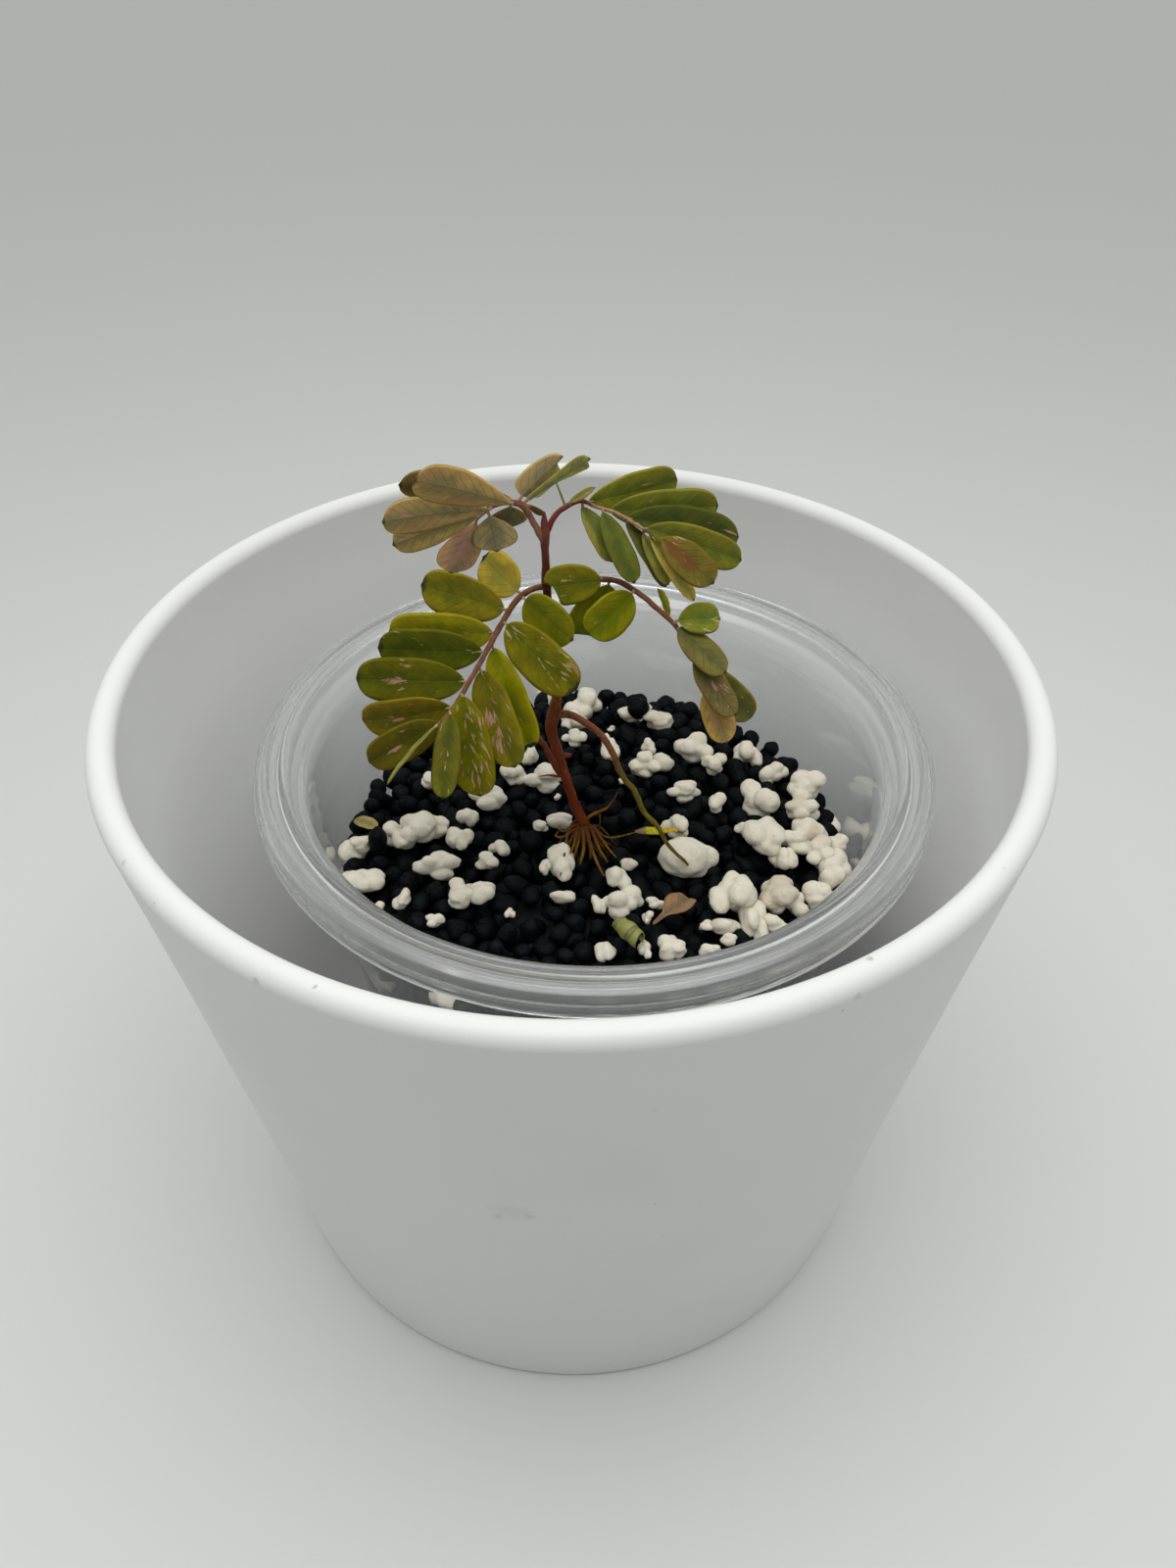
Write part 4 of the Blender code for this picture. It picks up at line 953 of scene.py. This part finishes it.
def leaf_piece(name, node, line, look, skins, number, outline, broad=1.03, slant=0.0, scorch=0.0, longer=1.0):
    """A fine blade of lens section over a CAD blade, with its point and, if it is still fixed, its stalklet.
    Skins are for its upper side, its under side and the stalklet; slant cuts its end off at an angle."""
    middle, along, across, up, low, high, half, form = straightened(node, line)
    length = longer * (high - low)
    rows = (1 - np.cos(np.linspace(0, math.pi, LEAF_ROWS))) / 2
    columns = np.linspace(-1, 1, 2 * LEAF_HALF_COLUMNS + 1)
    # Every point's share of the way along, s, and across, t, with the base and the tip as the last two
    s, t = [grid.ravel() for grid in np.meshgrid(rows[1:-1], columns, indexing="ij")]
    s, t = np.append(s, (0.0, 1.0)), np.append(t, (0.0, 0.0))
    wide = broad * half * np.array([leaf_outline(value, outline) for value in s])
    cut = 1 - abs(slant) * (0.5 + 0.5 * math.copysign(1, slant) * t) * s ** 6
    u = low + length * s * cut + LEAF_POINT * (slant == 0) * (s > 0.999)
    v = t * wide + 0.05 * half * np.sin(math.pi * s) * math.sin(2.4 * number)
    ripple = 0.10 * np.sin(5.2 * s * math.pi + number) * np.abs(t) ** 2 * np.sin(math.pi * s)
    w = surface_terms(u, v) @ form + ripple * half / 3
    sheet = middle + u[:, None] * along + v[:, None] * across + w[:, None] * up
    plump = 0.5 * LEAF_THICK * (1 - np.abs(t) ** 6) * np.where((s < 0.001) | (s > 0.999), 0, 1)

    wide_count, ring = len(columns), len(rows) - 2
    faces = []
    for row in range(ring - 1):
        for column in range(wide_count - 1):
            a = row * wide_count + column
            faces.append((a, a + wide_count, a + wide_count + 1, a + 1))
    base, tip, last = ring * wide_count, ring * wide_count + 1, (ring - 1) * wide_count
    for column in range(wide_count - 1):
        faces.append((base, column, column + 1))
        faces.append((tip, last + column + 1, last + column))
    # The under side shares the upper side's points round the rim
    rim = plump < 1e-9
    over, below = sheet + plump[:, None] * up, sheet - plump[:, None] * up
    lower_index = np.where(rim, np.arange(len(sheet)), len(sheet) + np.cumsum(~rim) - 1)
    lower_faces = [tuple(int(lower_index[corner]) for corner in reversed(face)) for face in faces]
    points = np.vstack([over, below[~rim]])
    stalklet, stalklet_faces = np.zeros((0, 3)), []
    if len(skins) > 2:
        start = sheet[base]
        nearest = line[np.argmin(np.linalg.norm(line[:, :3] - start, axis=1))][:3]
        lift = (surface_terms(np.array([low + 0.9]), np.zeros(1)) @ form)[0]
        inner = middle + (low + 0.9) * along + lift * up
        route = [(*nearest, 0.34), (*(0.35 * nearest + 0.65 * start), 0.22), (*inner, 0.13)]
        stalklet, stalklet_faces = tube(route, 0.3, 8, 0.1, number)
    piece = joined(name, [(points, faces + lower_faces), (stalklet, stalklet_faces)], skins[0])
    for skin in skins[1:]:
        piece.data.materials.append(skin)
    kinds = [0] * len(faces) + [1] * len(lower_faces) + [2] * len(stalklet_faces)
    piece.data.polygons.foreach_set("material_index", kinds)

    seen, flecks, pinkness, *patch = look
    patch_along, patch_across, patch_reach, kind = patch or (0, 0, 0, 0)
    count = len(points) + len(stalklet)
    place = np.stack([s, t, np.full_like(s, scorch)], 1)
    real = np.stack([s * length, v, np.full_like(s, 3.7 * number)], 1)
    for key, table in (("leaf_place", place), ("leaf_mm", real)):
        keep(piece, key, np.vstack([table, table[~rim], np.zeros((len(stalklet), 3))]))
    # The leaflet's colour, with the painted light and shade that was set for how lit it looks
    keep(piece, "leaf_tint", np.tile(np.array(paint(seen)) * LEAF_GAIN, (count, 1)))
    keep(piece, "leaf_fleck", np.tile((flecks, pinkness, max(0.0, kind - 1.0)), (count, 1)))
    keep(piece, "leaf_patch", np.tile((patch_along, patch_across, patch_reach), (count, 1)))
    return piece


# How far along the leaflets of each branchlet are widest, as a share of their length, and how square they are
LEAF_FORMS = {
    "lower_left": (0.57, 3.0), "lower_right": (0.57, 2.8), "upper_left": (0.70, 2.4),
    "upper_right": (0.6, 2.8),
}
WEDGE = [(0, 0), (0.05, 0.6), (0.15, 0.95), (0.4, 1.0), (0.7, 0.84), (0.88, 0.62), (0.97, 0.40), (1, 0)]
SPOON = [(0, 0), (0.03, 0.32), (0.2, 0.40), (0.45, 0.52), (0.7, 0.84), (0.88, 1.0), (0.96, 0.84), (1, 0)]
SPATULA = [(0, 0), (0.02, 0.12), (0.3, 0.24), (0.42, 0.6), (0.55, 0.95), (0.7, 1.0), (0.9, 0.75), (0.98, 0.6),
           (1, 0)]
stalklet_finish = bark("pale_stalklet_skin", [
    (112, (0.46, 0.36, 0.2)), (134, (0.36, 0.24, 0.12)), (147, (0.34, 0.22, 0.11)),
], 0.5)
# Leaflets that differ from the others of their branchlet, by their place on it
ODD_LEAVES = {
    "lower_left": {
        1: {"outline": (0.52, 2.3), "broad": 1.05, "scorch": 0.9}, 2: {"scorch": 0.7}, 3: {"broad": 1.12},
        4: {"scorch": 0.7, "broad": 1.12}, 5: {"scorch": 0.5, "broad": 1.18}, 6: {"broad": 1.2},
        8: {"broad": 0.75}, 9: {"outline": (0.52, 2.5), "broad": 1.08}, 10: {"scorch": 0.8, "broad": 1.15},
        11: {"scorch": 0.9}, 13: {"broad": 1.12}, 14: {"broad": 1.1},
    },
    "lower_right": {
        1: {"broad": 1.1, "slant": 0.3}, 2: {"broad": 1.25}, 6: {"broad": 1.2}, 7: {"broad": 1.15},
        8: {"broad": 1.2}, 9: {"broad": 1.2},
    },
    "upper_left": {
        5: {"broad": 1.18}, 6: {"broad": 1.4}, 7: {"broad": 1.4},
        8: {"outline": WEDGE, "broad": 1.55, "slant": 0.3, "longer": 1.28},
        9: {"outline": SPOON, "slant": 0.08, "broad": 1.3},
    },
    "upper_right": {
        1: {"outline": (0.5, 2.2)},
    },
}
leaf_skins = [leaf_finish("leaf_upper_skin", False), leaf_finish("leaf_under_skin", True), stalklet_finish]
number = 0
for side, looks in LEAF_LOOKS.items():
    for place_on_stalk, look in enumerate(looks, 1):
        number += 1
        node_name = "leaflet_%s_%02d" % (side, place_on_stalk)
        shape = {"outline": LEAF_FORMS[side], **ODD_LEAVES[side].get(place_on_stalk, {})}
        leaf = leaf_piece("%s_leaf_%02d" % (side, place_on_stalk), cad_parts[node_name],
                          stalk_lines[side], look, leaf_skins, number, **shape)
        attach(leaf, "root")
        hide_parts(node_name)

# Scraps: dead and dropped bits of leaf that lie loose on the pellets. There are a brown spoon-shaped leaf, a
# yellow strip and a small olive bit, all flat, and a green leaf curled into a tube.
SCRAP_SHAPES = {
    "fallen_brown_leaf": ((102, 82, 60), "brown_scrap", {"outline": SPATULA, "slant": 0.10, "broad": 1.2}),
    "olive_scrap": ((112, 102, 66), "olive_scrap", {"outline": (0.5, 2.4), "broad": 1.0}),
}
for place_on_bed, (node_name, (seen, slot_name, shape)) in enumerate(SCRAP_SHAPES.items(), 60):
    foot = np.array([[*(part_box(node_name)[0] / MM), 0.3]])
    scrap = leaf_piece("loose_" + node_name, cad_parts[node_name], foot, (seen, 0.1, 0.5),
                       [leaf_skins[1], leaf_skins[1]], place_on_bed, **shape)
    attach(scrap, "root")
    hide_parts(node_name)

# The yellow bit is a withered strip, brown at one end: x, y, z and half width along its middle
STRIP_ROUTE = [
    (11, -1.3, 84.3, 0.35), (12.4, -1.7, 84.9, 0.85), (13.4, -2, 85.2, 1), (15.2, -2.5, 85.6, 0.95),
    (16.6, -2.8, 86, 0.6), (17.6, -2.9, 86.2, 0.55), (18.4, -3, 86, 0.15),
]
STRIP_SIDES = 12
STRIP_FLAT = 0.3
strip_finish = bark("yellow_strip_skin", [
    (11, (0.2, 0.16, 0.07)), (12.7, (0.22, 0.17, 0.05)), (13.1, (0.42, 0.4, 0.008)),
    (15.8, (0.44, 0.41, 0.008)), (16.6, (0.5, 0.31, 0.01)),
], 0.5, 0)
middle_heights = smooth_route(STRIP_ROUTE, 0.25)[:, 2]
points, faces = tube(STRIP_ROUTE, 0.25, STRIP_SIDES, 0.2, 3)
level = np.append(np.repeat(middle_heights, STRIP_SIDES), middle_heights[[0, -1]])
points[:, 2] = level + STRIP_FLAT * (points[:, 2] - level)
strip = joined("loose_yellow_strip", [(points, faces)], strip_finish)
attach(strip, "root")
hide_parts("yellow_scrap")

# The green leaf is curled up lengthwise, thin, with dark rings round it
CURL_FROM = (7.5, -23.6, 84.7)
CURL_TO = (10.6, -27.3, 84.3)
CURL_RADIUS = 1.75
CURL_TURN = 300
CURL_INSIDE = 0.86
CURL_ROWS = 24
CURL_COLUMNS = 32
curl_finish, shader = new_finish("curled_leaf_skin", 0.5)
place = spot_on(shader)
along = parted(stored(shader, "curl_place"))[0]
rings = fade(sums("SINE", scaled(cloud(place, 300.0), 2.4, times(along, 10.0))), 0.5, 0.98)
green = mixed(cloud(place, 500.0), (0.17, 0.180, 0.035), (0.27, 0.27, 0.080))
feed(shader, "Base Color", mixed(times(rings, 0.5), green, (0.07, 0.08, 0.020)))
relief(shader, rings, 0.0002)
curl_start, curl_end = np.array(CURL_FROM), np.array(CURL_TO)
curl_way = (curl_end - curl_start) / np.linalg.norm(curl_end - curl_start)
curl_side = np.cross(curl_way, (0, 0, 1))
curl_side /= np.linalg.norm(curl_side)
curl_up = np.cross(curl_side, curl_way)
wide = CURL_COLUMNS + 1
inside = (CURL_ROWS + 1) * wide
points, spots = [], []
for skin_side in (1.0, CURL_INSIDE):
    for row in np.linspace(0, 1, CURL_ROWS + 1):
        swell = 0.72 + 0.28 * math.sin(math.pi * (0.15 + 0.7 * row))
        for column in np.linspace(0, 1, wide):
            angle = math.radians(-60 + CURL_TURN * column)
            radius = skin_side * CURL_RADIUS * (1 - 0.22 * column) * swell
            radius *= 1 + 0.05 * math.sin(12 * row + 2.6)
            out = curl_side * math.cos(angle) + curl_up * math.sin(angle)
            ragged = 0.35 * math.sin(7 * column) * (2 * row - 1)
            points.append(curl_start + (curl_end - curl_start) * row + curl_way * ragged + out * radius)
            spots.append((row, column, 0))
faces = []
for row in range(CURL_ROWS):
    for column in range(CURL_COLUMNS):
        a = row * wide + column
        faces.append((a, a + 1, a + wide + 1, a + wide))
        faces.append([inside + corner for corner in reversed(faces[-1])])
    for column, way in ((0, 1), (CURL_COLUMNS, -1)):
        a = row * wide + column
        faces.append((a, a + wide, a + wide + inside, a + inside)[::way])
for column in range(CURL_COLUMNS):
    for row, way in ((0, -1), (CURL_ROWS, 1)):
        a = row * wide + column
        faces.append((a, a + 1, a + 1 + inside, a + inside)[::way])
curl = new_piece("loose_curled_green_leaf", points, faces, curl_finish)
keep(curl, "curl_place", spots)
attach(curl, "root")
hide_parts("curled_green_leaf")
